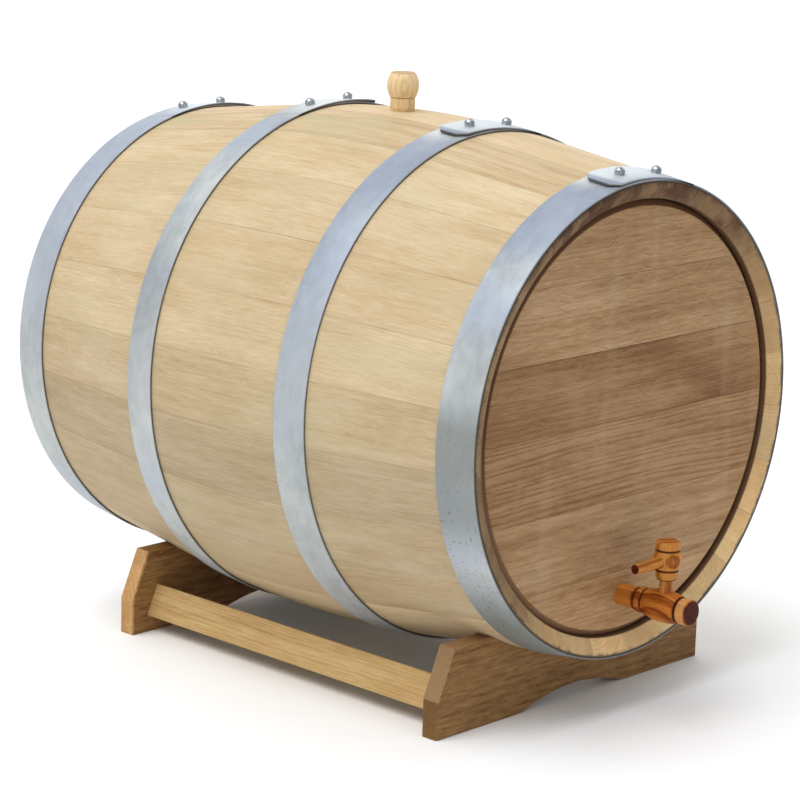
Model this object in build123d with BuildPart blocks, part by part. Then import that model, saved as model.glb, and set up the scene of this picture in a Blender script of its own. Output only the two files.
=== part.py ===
"""Oak wine barrel, nominal 50 litres, lying on a cradle stand, with a bung and a wooden tap.

The barrel's axis is parallel to Y, with the tap head towards -Y and the bung towards +Z.
X is measured from the barrel's plane of symmetry, and Z from the floor. The origin lies under
the middle of the whole object, so the barrel's mid-plane stands a little behind it.
Sizes are in millimetres and angles in degrees.
"""

import os
from math import atan, cos, degrees, radians, sin, sqrt, tan

from build123d import *

# ---------------------------------------------------------------- driving dimensions

# Barrel shell
barrel_half_length = 260.0
bilge_radius = 213.0
head_end_radius = 186.5
end_slope = 0.13
stave_thickness = 20.0

# Chime: the ends of the staves, outside the heads
chime_land = 4.0
chime_bevel_radius = 172.8
chime_bevel_depth = 6.3

# Croze groove and heads
croze_depth = 13.0
croze_width = 7.0
croze_radius = 178.0
croze_side_gap = 0.2
head_face_radius = 167.0
head_recess = 8.0
head_thickness = 18.0
head_back_radius = 162.0
head_joint_heights = [116.0, 59.0, 2.0, -62.0, -121.0]

# Joints between staves, counted from the top towards +X and towards -X
stave_joints_right = [7.2, 21.4, 36.6, 50.9, 65.3, 80.1, 94.4, 109.2, 123.5, 138.2, 152.4, 166.4]
stave_joints_left = [7.2, 22.0, 36.5, 51.7, 66.3, 80.7, 95.0, 110.0, 124.3, 138.6, 152.9, 166.9]
bottom_joint = 180.0

# Dowels between the head boards
dowel_radius = 4.0
dowel_length = 34.0
dowel_spacing = 120.0
dowel_share = 0.6

# Hoops
hoop_thickness = 2.0
hoop_clearance = 0.05
head_hoop_width = 34.0
quarter_hoop_width = 30.0
front_quarter_hoop_y = -89.0
rear_quarter_hoop_y = 82.0
rivet_pitch = 44.0
lap_past_rivet = 20.0
rear_head_lap_past_rivet = 29.0
lap_tail = 34.0
lap_lift = 0.8
tongue_corner = 8.0
tongue_margin = 1.0

# Rivets
rivet_shank_radius = 2.5
rivet_head_radius = 4.3
rivet_neck_height = 2.8
rivet_dome_height = 3.2
rivet_foot = 0.2
rivet_bite = 0.15
rivet_neck_flare = 0.4

# Bung: a tapered plug with a turned knob
bung_seat_radius = 9.5
bung_tip_radius = 8.0
bung_plug_length = 25.0
bung_neck_radius = 10.4
bung_neck_bottom = 3.0
bung_neck_top_radius = 10.1
bung_neck_height = 10.5
bung_knob_bottom_radius = 10.8
bung_knob_bottom = 11.5
bung_knob_radius = 13.2
bung_knob_height = 21.0
bung_rim_radius = 10.6
bung_rim_height = 30.0
bung_rim_bend_radius = 10.0
bung_rim_bend_height = 31.0
bung_top_radius = 8.6
bung_top_height = 31.4

# Tap: distances along the tap are counted outwards from the front face of the head
tap_drop = 140.5
tap_tail = 30.0
tap_shank_radius = 8.7
tap_shank_taper = 0.03
tap_edge = 1.0
tap_shank_reach = 17.5
tap_shank_groove_reach = 18.2
tap_shank_groove_depth = 0.9
tap_bead_start = 18.9
tap_bead_start_radius = 9.4
tap_bead_peak = 22.2
tap_bead_radius = 10.5
tap_bead_end = 25.5
tap_bead_end_radius = 9.8
tap_bead_groove_reach = 26.1
tap_bead_groove_radius = 8.9
tap_bulge_start = 26.5
tap_bulge_start_radius = 10.3
tap_bulge_peak = 43.0
tap_bulge_radius = 12.9
tap_bulge_end = 59.0
tap_bulge_end_radius = 10.6
tap_nose_groove_reach = 59.8
tap_nose_groove_radius = 9.3
tap_nose_start = 60.5
tap_nose_radius = 10.3
tap_nose_end_radius = 10.2
tap_nose = 70.0
tap_bore_radius = 3.5
key_distance = 44.0
key_seat_top_radius = 5.5
key_seat_bottom_radius = 4.6
key_port_radius = 2.5
key_plug_bottom = -11.9
key_stem_height = 22.0
key_stem_waist = 0.2
key_collar_radius = 7.8
key_collar_bend_radius = 8.7
key_collar_bend_height = 24.6
key_collar_top_radius = 9.1
key_groove_half_width = 0.8
key_lower_groove = 29.7
key_lower_groove_radius = 8.3
key_belly_bottom_radius = 9.4
key_belly_radius = 11.3
key_belly_top_radius = 9.9
key_upper_groove = 45.7
key_upper_groove_radius = 8.9
key_cap_radius = 9.8
key_cap_bend_start = 50.5
key_cap_bend_radius = 9.0
key_cap_bend_height = 52.2
key_top_radius = 7.4
key_top = 53.0
key_peg_height = 37.0
key_peg_radius = 4.9
key_peg_tip_radius = 4.1
key_peg_start = 3.0
key_peg_straight = 6.8
key_peg_edge = 0.7
key_peg_reach = 40.0

# Cradle stand
axis_height = 237.0
bolster_half_width = 160.0
bolster_thickness = 16.0
bolster_side_height = 30.5
bolster_shoulder_x = 143.0
bolster_shoulder_height = 70.5
front_bolster_y = -207.0
rear_bolster_y = 144.0
arch_half_width = 62.0
arch_height = 11.0
arch_corner_radius = 60.0
bolster_edge = 1.0
rail_width = 28.0
rail_thickness = 15.0
rail_top_x = 133.0
rail_top_height = 40.5
tenon_length = 8.0
tenon_inset = 3.0
rail_edge = 0.8

# Clearances between pieces that move apart
seat_gap = 0.3
running_gap = 0.08

# ---------------------------------------------------------------- derived sizes

radius_drop = bilge_radius - head_end_radius
end_angle = atan(end_slope)
bend_half_length = (barrel_half_length * end_slope - radius_drop) / (end_slope - tan(end_angle / 2))
bend_radius = bend_half_length / sin(end_angle)
bend_edge_radius = bilge_radius - bend_radius * (1 - cos(end_angle))

tap_overhang = tap_nose - head_recess
barrel_mid_y = tap_overhang / 2
front_chime_y = barrel_mid_y - barrel_half_length
front_head_y = front_chime_y + head_recess
tap_height = axis_height - tap_drop
key_y = front_head_y - key_distance
bung_seat_height = axis_height + bilge_radius

barrel_centre = Vector(0, barrel_mid_y, axis_height)
barrel_axis = Axis(barrel_centre, (0, 1, 0))
barrel_section = Plane(barrel_centre, x_dir=(0, 0, 1), z_dir=(-1, 0, 0))
tap_axis = Axis((0, front_head_y, tap_height), (0, -1, 0))
tap_section = Plane((0, front_head_y, tap_height), x_dir=(0, -1, 0), z_dir=(1, 0, 0))
key_axis = Axis((0, key_y, tap_height), (0, 0, 1))
key_section = Plane((0, key_y, tap_height), x_dir=(1, 0, 0), z_dir=(0, -1, 0))
bung_axis = Axis((0, barrel_mid_y, bung_seat_height), (0, 0, 1))
bung_section = Plane((0, barrel_mid_y, bung_seat_height), x_dir=(1, 0, 0), z_dir=(0, -1, 0))

shoulder_run = bolster_half_width - bolster_shoulder_x
shoulder_rise = bolster_shoulder_height - bolster_side_height
rail_tilt = degrees(atan(shoulder_run / shoulder_rise))

os.makedirs("parts", exist_ok=True)


def shell_radius(distance):
    """Outer radius of the staves at a distance along the axis from the barrel's mid-plane."""
    if abs(distance) < bend_half_length:
        return bilge_radius - bend_radius + sqrt(bend_radius**2 - distance**2)
    return bend_edge_radius - end_slope * (abs(distance) - bend_half_length)


def shell_slope(distance):
    """How fast the outer radius changes with distance along the axis."""
    if abs(distance) < bend_half_length:
        return -distance / sqrt(bend_radius**2 - distance**2)
    return -end_slope if distance > 0 else end_slope


def outward(angle):
    """Unit vector away from the barrel's axis, at an angle from the top towards +X."""
    return Vector(sin(radians(angle)), 0, cos(radians(angle)))


def radial_plane(angle, distance=0.0):
    """Plane through the barrel's axis at an angle from the top, with local X pointing outwards."""
    across = Vector(-cos(radians(angle)), 0, sin(radians(angle)))
    return Plane(barrel_centre + Vector(0, distance, 0), x_dir=outward(angle), z_dir=across)


def strip_plane(angle, distance, height):
    """Plane on a hoop's strip, at a height over the shell, with its normal square to the strip."""
    slope = Vector(0, shell_slope(distance), 0)
    foot = barrel_centre + outward(angle) * shell_radius(distance) + Vector(0, distance, 0)
    normal = (outward(angle) - slope).normalized()
    along = outward(angle).cross(Vector(0, 1, 0))
    return Plane(foot + normal * height, x_dir=along, z_dir=normal)


def save(piece, name):
    """Label a finished piece and write it to its own file."""
    piece.label = name
    export_step(piece, f"parts/{name}.step")


# ---------------------------------------------------------------- staves


def stave_profile():
    """Lengthwise section of a stave: local X is the radius, local Y the distance along the axis."""
    half = barrel_half_length
    bend = bend_half_length
    croze_start = half - croze_depth
    croze_end = croze_start - croze_width
    inner_end_radius = shell_radius(croze_end) - stave_thickness
    inner_bend_radius = bend_edge_radius - stave_thickness
    inner_bilge_radius = bilge_radius - stave_thickness
    rear_end = [
        (head_end_radius, half),
        (head_end_radius - chime_land, half),
        (chime_bevel_radius, half - chime_bevel_depth),
        (chime_bevel_radius, croze_start),
        (croze_radius, croze_start),
        (croze_radius, croze_end),
        (inner_end_radius, croze_end),
        (inner_bend_radius, bend),
    ]
    front_end = [(radius, -along) for radius, along in reversed(rear_end)]
    Line((bend_edge_radius, bend), rear_end[0])
    Polyline(*rear_end)
    ThreePointArc(rear_end[-1], (inner_bilge_radius, 0), front_end[0])
    Polyline(*front_end)
    Line(front_end[-1], (bend_edge_radius, -bend))
    ThreePointArc((bend_edge_radius, -bend), (bilge_radius, 0), (bend_edge_radius, bend))


def make_stave(start, width, has_bung_hole):
    """One stave, from a joint's angle and across its width, with the bung hole if it has one."""
    with BuildPart() as stave:
        with BuildSketch(radial_plane(start)):
            with BuildLine():
                stave_profile()
            make_face()
        revolve(axis=barrel_axis, revolution_arc=width)
        if has_bung_hole:
            with BuildSketch(bung_section):
                with BuildLine():
                    top = 2 * bung_plug_length
                    taper = (bung_seat_radius - bung_tip_radius) / bung_plug_length
                    Polyline(
                        (0, -top),
                        (bung_seat_radius + running_gap - taper * top, -top),
                        (bung_seat_radius + running_gap + taper * top, top),
                        (0, top),
                        close=True,
                    )
                make_face()
            revolve(axis=bung_axis, mode=Mode.SUBTRACT)
    return stave.part


stave_joints = [-angle for angle in stave_joints_left]
stave_joints += stave_joints_right + [bottom_joint]
stave_joints.sort()
plain_staves = 0
for joint, following in zip(stave_joints, stave_joints[1:] + stave_joints[:1]):
    width = (following - joint) % 360
    if joint < 0 < following:
        save(make_stave(joint, width, True), "bung_stave")
    else:
        plain_staves += 1
        save(make_stave(joint, width, False), f"stave_{plain_staves:02d}")


# ---------------------------------------------------------------- heads


def head_profile():
    """Half section of a head on the barrel section: local X is the radius, local Y runs outwards."""
    face = barrel_half_length - head_recess
    back = face - head_thickness
    tongue_front = barrel_half_length - croze_depth - croze_side_gap
    tongue_back = barrel_half_length - croze_depth - croze_width
    rim = croze_radius - croze_side_gap
    inside = shell_radius(tongue_back) - stave_thickness - croze_side_gap
    Polyline(
        (0, face),
        (head_face_radius, face),
        (chime_bevel_radius - croze_side_gap, tongue_front),
        (rim, tongue_front),
        (rim, tongue_back),
        (inside, tongue_back),
        (head_back_radius, back),
        (0, back),
        close=True,
    )


def board_edges():
    """Heights of the boards' edges from the axis, from the rim at the top to the rim at the bottom."""
    return [croze_radius] + head_joint_heights + [-croze_radius]


def dowel_places(joint_height):
    """X positions of the dowels in one joint, closer together near the rim."""
    reach = sqrt(head_back_radius**2 - joint_height**2)
    half_spacing = min(dowel_spacing / 2, reach * dowel_share)
    return [-half_spacing, half_spacing]


def make_head_board(side, top, bottom):
    """One board of a head: side is -1 for the front head and 1 for the rear head."""
    section = Plane(barrel_centre, x_dir=(0, 0, 1), z_dir=(-side, 0, 0))
    middle_y = barrel_mid_y + side * (barrel_half_length - head_recess - head_thickness / 2)
    with BuildPart() as board:
        with BuildSketch(section):
            with BuildLine():
                head_profile()
            make_face()
        revolve(axis=barrel_axis)
        with BuildSketch(Plane.XY.offset(axis_height + bottom)):
            with Locations((0, middle_y)):
                Rectangle(2 * croze_radius, 2 * head_thickness)
        extrude(amount=top - bottom, mode=Mode.INTERSECT)
        for height in (top, bottom):
            if height in head_joint_heights:
                with BuildSketch(Plane.XY.offset(axis_height + height)):
                    with Locations(*[(x, middle_y) for x in dowel_places(height)]):
                        Circle(dowel_radius)
                extrude(amount=dowel_length / 2, both=True, mode=Mode.SUBTRACT)
        if side < 0 and bottom < -tap_drop < top:
            with BuildSketch(tap_section):
                with BuildLine():
                    inner = -2 * head_thickness
                    outer = head_thickness
                    Polyline(
                        (inner, 0),
                        (inner, shank_radius(inner) + running_gap),
                        (outer, shank_radius(outer) + running_gap),
                        (outer, 0),
                        close=True,
                    )
                make_face()
            revolve(axis=tap_axis, mode=Mode.SUBTRACT)
    return board.part


def make_dowels(side):
    """All the dowels of one head, as separate solids."""
    middle_y = barrel_mid_y + side * (barrel_half_length - head_recess - head_thickness / 2)
    with BuildPart() as dowels:
        for height in head_joint_heights:
            with BuildSketch(Plane.XY.offset(axis_height + height)):
                with Locations(*[(x, middle_y) for x in dowel_places(height)]):
                    Circle(dowel_radius)
            extrude(amount=dowel_length / 2, both=True)
    return dowels.part


def shank_radius(distance):
    """Radius of the tap's tapered shank at a distance outwards from the head's front face."""
    return tap_shank_radius + tap_shank_taper * distance


for head_name, side in (("front_head", -1), ("rear_head", 1)):
    edges = board_edges()
    for number, (top, bottom) in enumerate(zip(edges, edges[1:]), start=1):
        save(make_head_board(side, top, bottom), f"{head_name}_board_{number}")
    save(make_dowels(side), f"{head_name}_dowels")


# ---------------------------------------------------------------- hoops and rivets


def strip_profile(distance, width):
    """Section of a hoop's strip, lying on the tangent to the shell at the middle of its width."""
    radius = shell_radius(distance) + hoop_clearance
    rise = shell_slope(distance) * width / 2
    half = width / 2
    Polyline(
        (radius - rise, distance - half),
        (radius + rise, distance + half),
        (radius + rise + hoop_thickness, distance + half),
        (radius - rise + hoop_thickness, distance - half),
        close=True,
    )


def rivet_angles(distance, lap_angle):
    """Angles from the top, towards +X, of a hoop's two rivets."""
    half_pitch = degrees(rivet_pitch / 2 / (shell_radius(distance) + hoop_thickness))
    return lap_angle - half_pitch, lap_angle + half_pitch


def lap_ends(distance, lap_angle, tip_side, past_rivet):
    """Angles from the top of the lap's tongue, which points to +X or to -X, and of its tail."""
    degrees_per_mm = degrees(1 / (shell_radius(distance) + hoop_thickness))
    half_pitch = rivet_pitch / 2
    tip = lap_angle + tip_side * (half_pitch + past_rivet) * degrees_per_mm
    tail = lap_angle - tip_side * (half_pitch + lap_tail) * degrees_per_mm
    return tip, tail


def lap_shift(tip, tail):
    """Shift of the lap's own axis that lifts it from flush at its tail to above the strip."""
    square = tail + 90 if tip > tail else tail - 90
    return outward(square) * ((hoop_thickness + lap_lift) / sin(radians(abs(tail - tip))))


def make_lap(distance, width, tip, tail):
    """The lapped outer end of a hoop, with the two corners of its tongue cut off."""
    shift = lap_shift(tip, tail)
    section = radial_plane(min(tip, tail))
    section.origin = section.origin + shift
    side = width / 2 + tongue_margin
    corner = tongue_corner + tongue_margin
    past_tip = -tongue_margin if tip > tail else tongue_margin
    behind_tip = corner if tip > tail else -corner
    with BuildPart() as lap:
        with BuildSketch(section):
            with BuildLine():
                strip_profile(distance, width)
            make_face()
        revolve(axis=Axis(barrel_centre + shift, (0, 1, 0)), revolution_arc=abs(tail - tip))
        with BuildSketch(strip_plane(tip, distance, 0)):
            for edge in (-side, side):
                inner_edge = edge - corner if edge > 0 else edge + corner
                with BuildLine():
                    Polyline((past_tip, edge), (behind_tip, edge), (past_tip, inner_edge), close=True)
                make_face()
        extrude(amount=4 * hoop_thickness, both=True, mode=Mode.SUBTRACT)
    return lap.part


def make_hoop(distance, width, lap_angle, tip, tail):
    """A hoop: the closed strip, and its outer end lapped over the top as a tongue."""
    lap = make_lap(distance, width, tip, tail)
    with BuildPart() as hoop:
        with BuildSketch(barrel_section):
            with BuildLine():
                strip_profile(distance, width)
            make_face()
        revolve(axis=barrel_axis)
        add(lap)
        for angle in rivet_angles(distance, lap_angle):
            with BuildSketch(strip_plane(angle, distance, 0)):
                Circle(rivet_shank_radius)
            extrude(amount=4 * hoop_thickness, both=True, mode=Mode.SUBTRACT)
    return hoop.part


def rivet_profile(foot, seat):
    """Half section of a rivet: local X is the height over the shell, local Y the radius."""
    neck = seat + rivet_neck_height
    dome_top = neck + rivet_dome_height
    dome_radius = (rivet_head_radius**2 + rivet_dome_height**2) / (2 * rivet_dome_height)
    Polyline(
        (foot, 0),
        (foot, rivet_shank_radius),
        (seat, rivet_shank_radius),
        (seat, rivet_head_radius - rivet_neck_flare),
        (neck, rivet_head_radius),
    )
    RadiusArc((neck, rivet_head_radius), (dome_top, 0), dome_radius)
    Line((dome_top, 0), (foot, 0))


def make_rivets(distance, lap_angle, tip, tail):
    """The two rivets of a hoop: shank, short neck and domed head, as separate solids."""
    with BuildPart() as rivets:
        for angle in rivet_angles(distance, lap_angle):
            lap_height = hoop_thickness + lap_shift(tip, tail).dot(outward(angle))
            strip = strip_plane(angle, distance, 0)
            with BuildSketch(Plane(strip.origin, x_dir=strip.z_dir, z_dir=strip.x_dir)):
                with BuildLine():
                    rivet_profile(rivet_foot, lap_height - rivet_bite)
                make_face()
            revolve(axis=Axis(strip.origin, strip.z_dir))
    return rivets.part


head_hoop_distance = barrel_half_length - head_hoop_width / 2
hoops = {
    "front_head_hoop": (-head_hoop_distance, head_hoop_width, 2.0, -1, lap_past_rivet),
    "front_quarter_hoop": (front_quarter_hoop_y, quarter_hoop_width, 1.5, -1, lap_past_rivet),
    "rear_quarter_hoop": (rear_quarter_hoop_y, quarter_hoop_width, -0.7, 1, lap_past_rivet),
    "rear_head_hoop": (head_hoop_distance, head_hoop_width, 0.5, 1, rear_head_lap_past_rivet),
}
for name, (distance, width, lap_angle, tip_side, past_rivet) in hoops.items():
    tip, tail = lap_ends(distance, lap_angle, tip_side, past_rivet)
    save(make_hoop(distance, width, lap_angle, tip, tail), name)
    save(make_rivets(distance, lap_angle, tip, tail), f"{name}_rivets")


# ---------------------------------------------------------------- bung

with BuildPart() as bung:
    with BuildSketch(bung_section):
        with BuildLine():
            Polyline(
                (0, -bung_plug_length),
                (bung_tip_radius, -bung_plug_length),
                (bung_seat_radius, 0),
                (bung_neck_radius, bung_neck_bottom),
                (bung_neck_top_radius, bung_neck_height),
                (bung_knob_bottom_radius, bung_knob_bottom),
            )
            ThreePointArc(
                (bung_knob_bottom_radius, bung_knob_bottom),
                (bung_knob_radius, bung_knob_height),
                (bung_rim_radius, bung_rim_height),
            )
            ThreePointArc(
                (bung_rim_radius, bung_rim_height),
                (bung_rim_bend_radius, bung_rim_bend_height),
                (bung_top_radius, bung_top_height),
            )
            Polyline((bung_top_radius, bung_top_height), (0, bung_top_height), (0, -bung_plug_length))
        make_face()
    revolve(axis=bung_axis)
save(bung.part, "bung")


# ---------------------------------------------------------------- tap

with BuildPart() as tap_body:
    with BuildSketch(tap_section):
        with BuildLine():
            Polyline(
                (-tap_tail, 0),
                (-tap_tail, shank_radius(-tap_tail) - tap_edge),
                (tap_edge - tap_tail, shank_radius(tap_edge - tap_tail)),
                (tap_shank_reach, shank_radius(tap_shank_reach)),
                (tap_shank_groove_reach, shank_radius(tap_shank_reach) - tap_shank_groove_depth),
                (tap_bead_start, tap_bead_start_radius),
            )
            ThreePointArc(
                (tap_bead_start, tap_bead_start_radius),
                (tap_bead_peak, tap_bead_radius),
                (tap_bead_end, tap_bead_end_radius),
            )
            Polyline(
                (tap_bead_end, tap_bead_end_radius),
                (tap_bead_groove_reach, tap_bead_groove_radius),
                (tap_bulge_start, tap_bulge_start_radius),
            )
            ThreePointArc(
                (tap_bulge_start, tap_bulge_start_radius),
                (tap_bulge_peak, tap_bulge_radius),
                (tap_bulge_end, tap_bulge_end_radius),
            )
            Polyline(
                (tap_bulge_end, tap_bulge_end_radius),
                (tap_nose_groove_reach, tap_nose_groove_radius),
                (tap_nose_start, tap_nose_radius),
                (tap_nose - tap_edge, tap_nose_end_radius),
                (tap_nose, tap_nose_end_radius - tap_edge),
                (tap_nose, 0),
                (-tap_tail, 0),
            )
        make_face()
    revolve(axis=tap_axis)
    with BuildSketch(Plane((0, front_head_y + tap_tail, tap_height), z_dir=(0, -1, 0))):
        Circle(tap_bore_radius)
    extrude(amount=tap_tail + key_distance, mode=Mode.SUBTRACT)
    with BuildSketch(key_section):
        with BuildLine():
            seat = 2 * tap_bulge_radius
            seat_taper = (key_seat_top_radius - key_seat_bottom_radius) / seat
            Polyline(
                (0, -seat),
                (key_seat_bottom_radius + running_gap - seat_taper * seat / 2, -seat),
                (key_seat_top_radius + running_gap + seat_taper * seat / 2, seat),
                (0, seat),
                close=True,
            )
        make_face()
    revolve(axis=key_axis, mode=Mode.SUBTRACT)
save(tap_body.part, "tap_body")

with BuildPart() as tap_key:
    with BuildSketch(key_section):
        with BuildLine():
            groove = key_groove_half_width
            Polyline(
                (0, key_plug_bottom),
                (key_seat_bottom_radius, key_plug_bottom),
                (key_seat_top_radius, tap_bulge_radius),
                (key_seat_top_radius - key_stem_waist, key_stem_height),
                (key_collar_radius, key_stem_height),
            )
            ThreePointArc(
                (key_collar_radius, key_stem_height),
                (key_collar_bend_radius, key_collar_bend_height),
                (key_collar_top_radius, key_lower_groove - groove),
            )
            Polyline(
                (key_collar_top_radius, key_lower_groove - groove),
                (key_lower_groove_radius, key_lower_groove),
                (key_belly_bottom_radius, key_lower_groove + groove),
            )
            ThreePointArc(
                (key_belly_bottom_radius, key_lower_groove + groove),
                (key_belly_radius, (key_lower_groove + key_upper_groove) / 2),
                (key_belly_top_radius, key_upper_groove - groove),
            )
            Polyline(
                (key_belly_top_radius, key_upper_groove - groove),
                (key_upper_groove_radius, key_upper_groove),
                (key_belly_top_radius, key_upper_groove + groove),
                (key_cap_radius, key_cap_bend_start),
            )
            ThreePointArc(
                (key_cap_radius, key_cap_bend_start),
                (key_cap_bend_radius, key_cap_bend_height),
                (key_top_radius, key_top),
            )
            Polyline((key_top_radius, key_top), (0, key_top), (0, key_plug_bottom))
        make_face()
    revolve(axis=key_axis)
    with BuildSketch(Plane.XY.offset(tap_height - tap_bulge_radius)):
        with Locations((0, key_y)):
            Circle(key_port_radius)
    extrude(amount=tap_bulge_radius, mode=Mode.SUBTRACT)
    with BuildSketch(Plane((0, key_y, tap_height), z_dir=(1, 0, 0))):
        Circle(key_port_radius)
    extrude(amount=tap_bulge_radius, mode=Mode.SUBTRACT)
    with BuildSketch(Plane((-key_peg_start, key_y, tap_height + key_peg_height), z_dir=(-1, 0, 0))):
        Circle(key_peg_radius)
    extrude(amount=key_belly_radius, mode=Mode.SUBTRACT)
save(tap_key.part, "tap_key")

with BuildPart() as tap_key_peg:
    peg_start = Vector(-key_peg_start, key_y, tap_height + key_peg_height)
    with BuildSketch(Plane(peg_start, x_dir=(-1, 0, 0), z_dir=(0, -1, 0))):
        with BuildLine():
            peg_length = key_peg_reach - key_peg_start
            Polyline(
                (0, 0),
                (0, key_peg_radius),
                (key_peg_straight, key_peg_radius),
                (peg_length - key_peg_edge, key_peg_tip_radius),
                (peg_length, key_peg_tip_radius - key_peg_edge),
                (peg_length, 0),
                close=True,
            )
        make_face()
    revolve(axis=Axis(peg_start, (-1, 0, 0)))
save(tap_key_peg.part, "tap_key_peg")


# ---------------------------------------------------------------- cradle stand


def rail_plane(side, y):
    """Plane across a rail at y: local X runs along its wide face, upwards, and local Y outwards."""
    tilt = radians(rail_tilt)
    top = Vector(side * rail_top_x, y, rail_top_height)
    down = Vector(side * sin(tilt), 0, -cos(tilt))
    inward = Vector(-side * cos(tilt), 0, -sin(tilt))
    centre = top + down * (rail_width / 2) + inward * (rail_thickness / 2)
    return Plane(centre, x_dir=-down, z_dir=(0, 1, 0))


def make_bolster(front_y, mortise_y, mortise_depth):
    """A bolster board: sloped shoulders, arched underside, seat cut to the shell, and mortises."""
    with BuildPart() as bolster:
        with BuildSketch(Plane((0, front_y + bolster_thickness, 0), x_dir=(1, 0, 0), z_dir=(0, -1, 0))):
            with BuildLine():
                Line((-arch_half_width, 0), (-bolster_half_width, 0))
                Polyline(
                    (-bolster_half_width, 0),
                    (-bolster_half_width, bolster_side_height),
                    (-bolster_shoulder_x, bolster_shoulder_height),
                    (bolster_shoulder_x, bolster_shoulder_height),
                    (bolster_half_width, bolster_side_height),
                    (bolster_half_width, 0),
                    (arch_half_width, 0),
                )
                ThreePointArc((arch_half_width, 0), (0, arch_height), (-arch_half_width, 0))
            outline = make_face()
            near_arch = arch_half_width + 1
            arch_corners = outline.vertices().filter_by_position(Axis.X, -near_arch, near_arch)
            fillet(arch_corners, arch_corner_radius)
        extrude(amount=bolster_thickness)
        chamfer(bolster.faces().sort_by(Axis.Y)[0].edges(), bolster_edge)
        chamfer(bolster.faces().sort_by(Axis.Y)[-1].edges(), bolster_edge)
        with BuildSketch(barrel_section):
            with BuildLine():
                reach = barrel_half_length
                front_radius = bend_edge_radius - end_slope * (reach - bend_half_length) + seat_gap
                bend_edge = bend_edge_radius + seat_gap
                Polyline(
                    (0, -reach),
                    (front_radius, -reach),
                    (bend_edge, -bend_half_length),
                    (bend_edge, bend_half_length),
                    (front_radius, reach),
                    (0, reach),
                    close=True,
                )
            make_face()
        revolve(axis=barrel_axis, mode=Mode.SUBTRACT)
        for side in (-1, 1):
            with BuildSketch(rail_plane(side, mortise_y)):
                Rectangle(rail_width - 2 * tenon_inset, rail_thickness - 2 * tenon_inset)
            extrude(amount=mortise_depth, mode=Mode.SUBTRACT)
    return bolster.part


def make_rail(side):
    """A side rail: a plank parallel to the bolsters' shoulders, with a tenon at each end."""
    rail_start = front_bolster_inner_y
    rail_end = rear_bolster_inner_y
    with BuildPart() as rail:
        with BuildSketch(rail_plane(side, rail_start)):
            Rectangle(rail_width, rail_thickness)
        extrude(amount=rail_end - rail_start)
        chamfer(rail.edges().filter_by(Axis.Y), rail_edge)
        with BuildSketch(rail_plane(side, rail_start - tenon_length)):
            Rectangle(rail_width - 2 * tenon_inset, rail_thickness - 2 * tenon_inset)
        extrude(amount=rail_end - rail_start + 2 * tenon_length)
    return rail.part


front_bolster_front_y = barrel_mid_y + front_bolster_y
front_bolster_inner_y = front_bolster_front_y + bolster_thickness
rear_bolster_inner_y = barrel_mid_y + rear_bolster_y
save(make_bolster(front_bolster_front_y, front_bolster_inner_y, -tenon_length), "front_bolster")
save(make_bolster(rear_bolster_inner_y, rear_bolster_inner_y, tenon_length), "rear_bolster")
save(make_rail(-1), "left_rail")
save(make_rail(1), "right_rail")
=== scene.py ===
"""Looks of the oak wine barrel, its cradle, bung and tap.

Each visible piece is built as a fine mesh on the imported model's own sizes, or keeps its CAD shape, and
has a procedural material: bent oak staves, oak heads, galvanised hoops and turned hardwood.
Lengths are in metres, in the model's frame: +Z up, the barrel's axis parallel to Y, the tap towards -Y.
"""

from math import atan, atan2, cos, hypot, pi, radians, sin, sqrt, tan
from random import Random

import bmesh
import bpy
import numpy as np
from mathutils import Matrix, Vector


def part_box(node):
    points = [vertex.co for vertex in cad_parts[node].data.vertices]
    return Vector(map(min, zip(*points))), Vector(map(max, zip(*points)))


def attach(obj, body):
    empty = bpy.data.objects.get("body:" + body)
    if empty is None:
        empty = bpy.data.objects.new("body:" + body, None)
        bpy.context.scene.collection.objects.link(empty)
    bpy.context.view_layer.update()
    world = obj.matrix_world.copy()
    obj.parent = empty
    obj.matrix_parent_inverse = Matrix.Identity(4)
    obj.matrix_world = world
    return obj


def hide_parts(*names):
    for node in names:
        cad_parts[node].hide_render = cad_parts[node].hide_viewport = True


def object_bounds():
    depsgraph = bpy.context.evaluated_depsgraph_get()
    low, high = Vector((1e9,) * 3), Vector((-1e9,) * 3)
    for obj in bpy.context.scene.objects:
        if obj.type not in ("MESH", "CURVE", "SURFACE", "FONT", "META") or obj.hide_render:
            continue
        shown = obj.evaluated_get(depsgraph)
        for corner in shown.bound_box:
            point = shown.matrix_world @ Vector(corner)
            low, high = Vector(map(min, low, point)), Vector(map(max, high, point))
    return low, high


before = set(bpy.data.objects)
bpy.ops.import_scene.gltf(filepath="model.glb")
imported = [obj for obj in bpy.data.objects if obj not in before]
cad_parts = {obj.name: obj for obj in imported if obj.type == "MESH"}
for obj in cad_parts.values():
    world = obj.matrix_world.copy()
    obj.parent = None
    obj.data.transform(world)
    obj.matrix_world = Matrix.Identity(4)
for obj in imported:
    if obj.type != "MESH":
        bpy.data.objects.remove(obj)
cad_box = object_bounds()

MM = 0.001

# ---- sizes, from the frame


def end_radius():
    """Outer radius of the staves at their front end."""
    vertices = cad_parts["bung_stave"].data.vertices
    return max(hypot(v.co.x, v.co.z - AXIS_Z) for v in vertices if v.co.y < FRONT_Y + 0.1 * MM)


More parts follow.
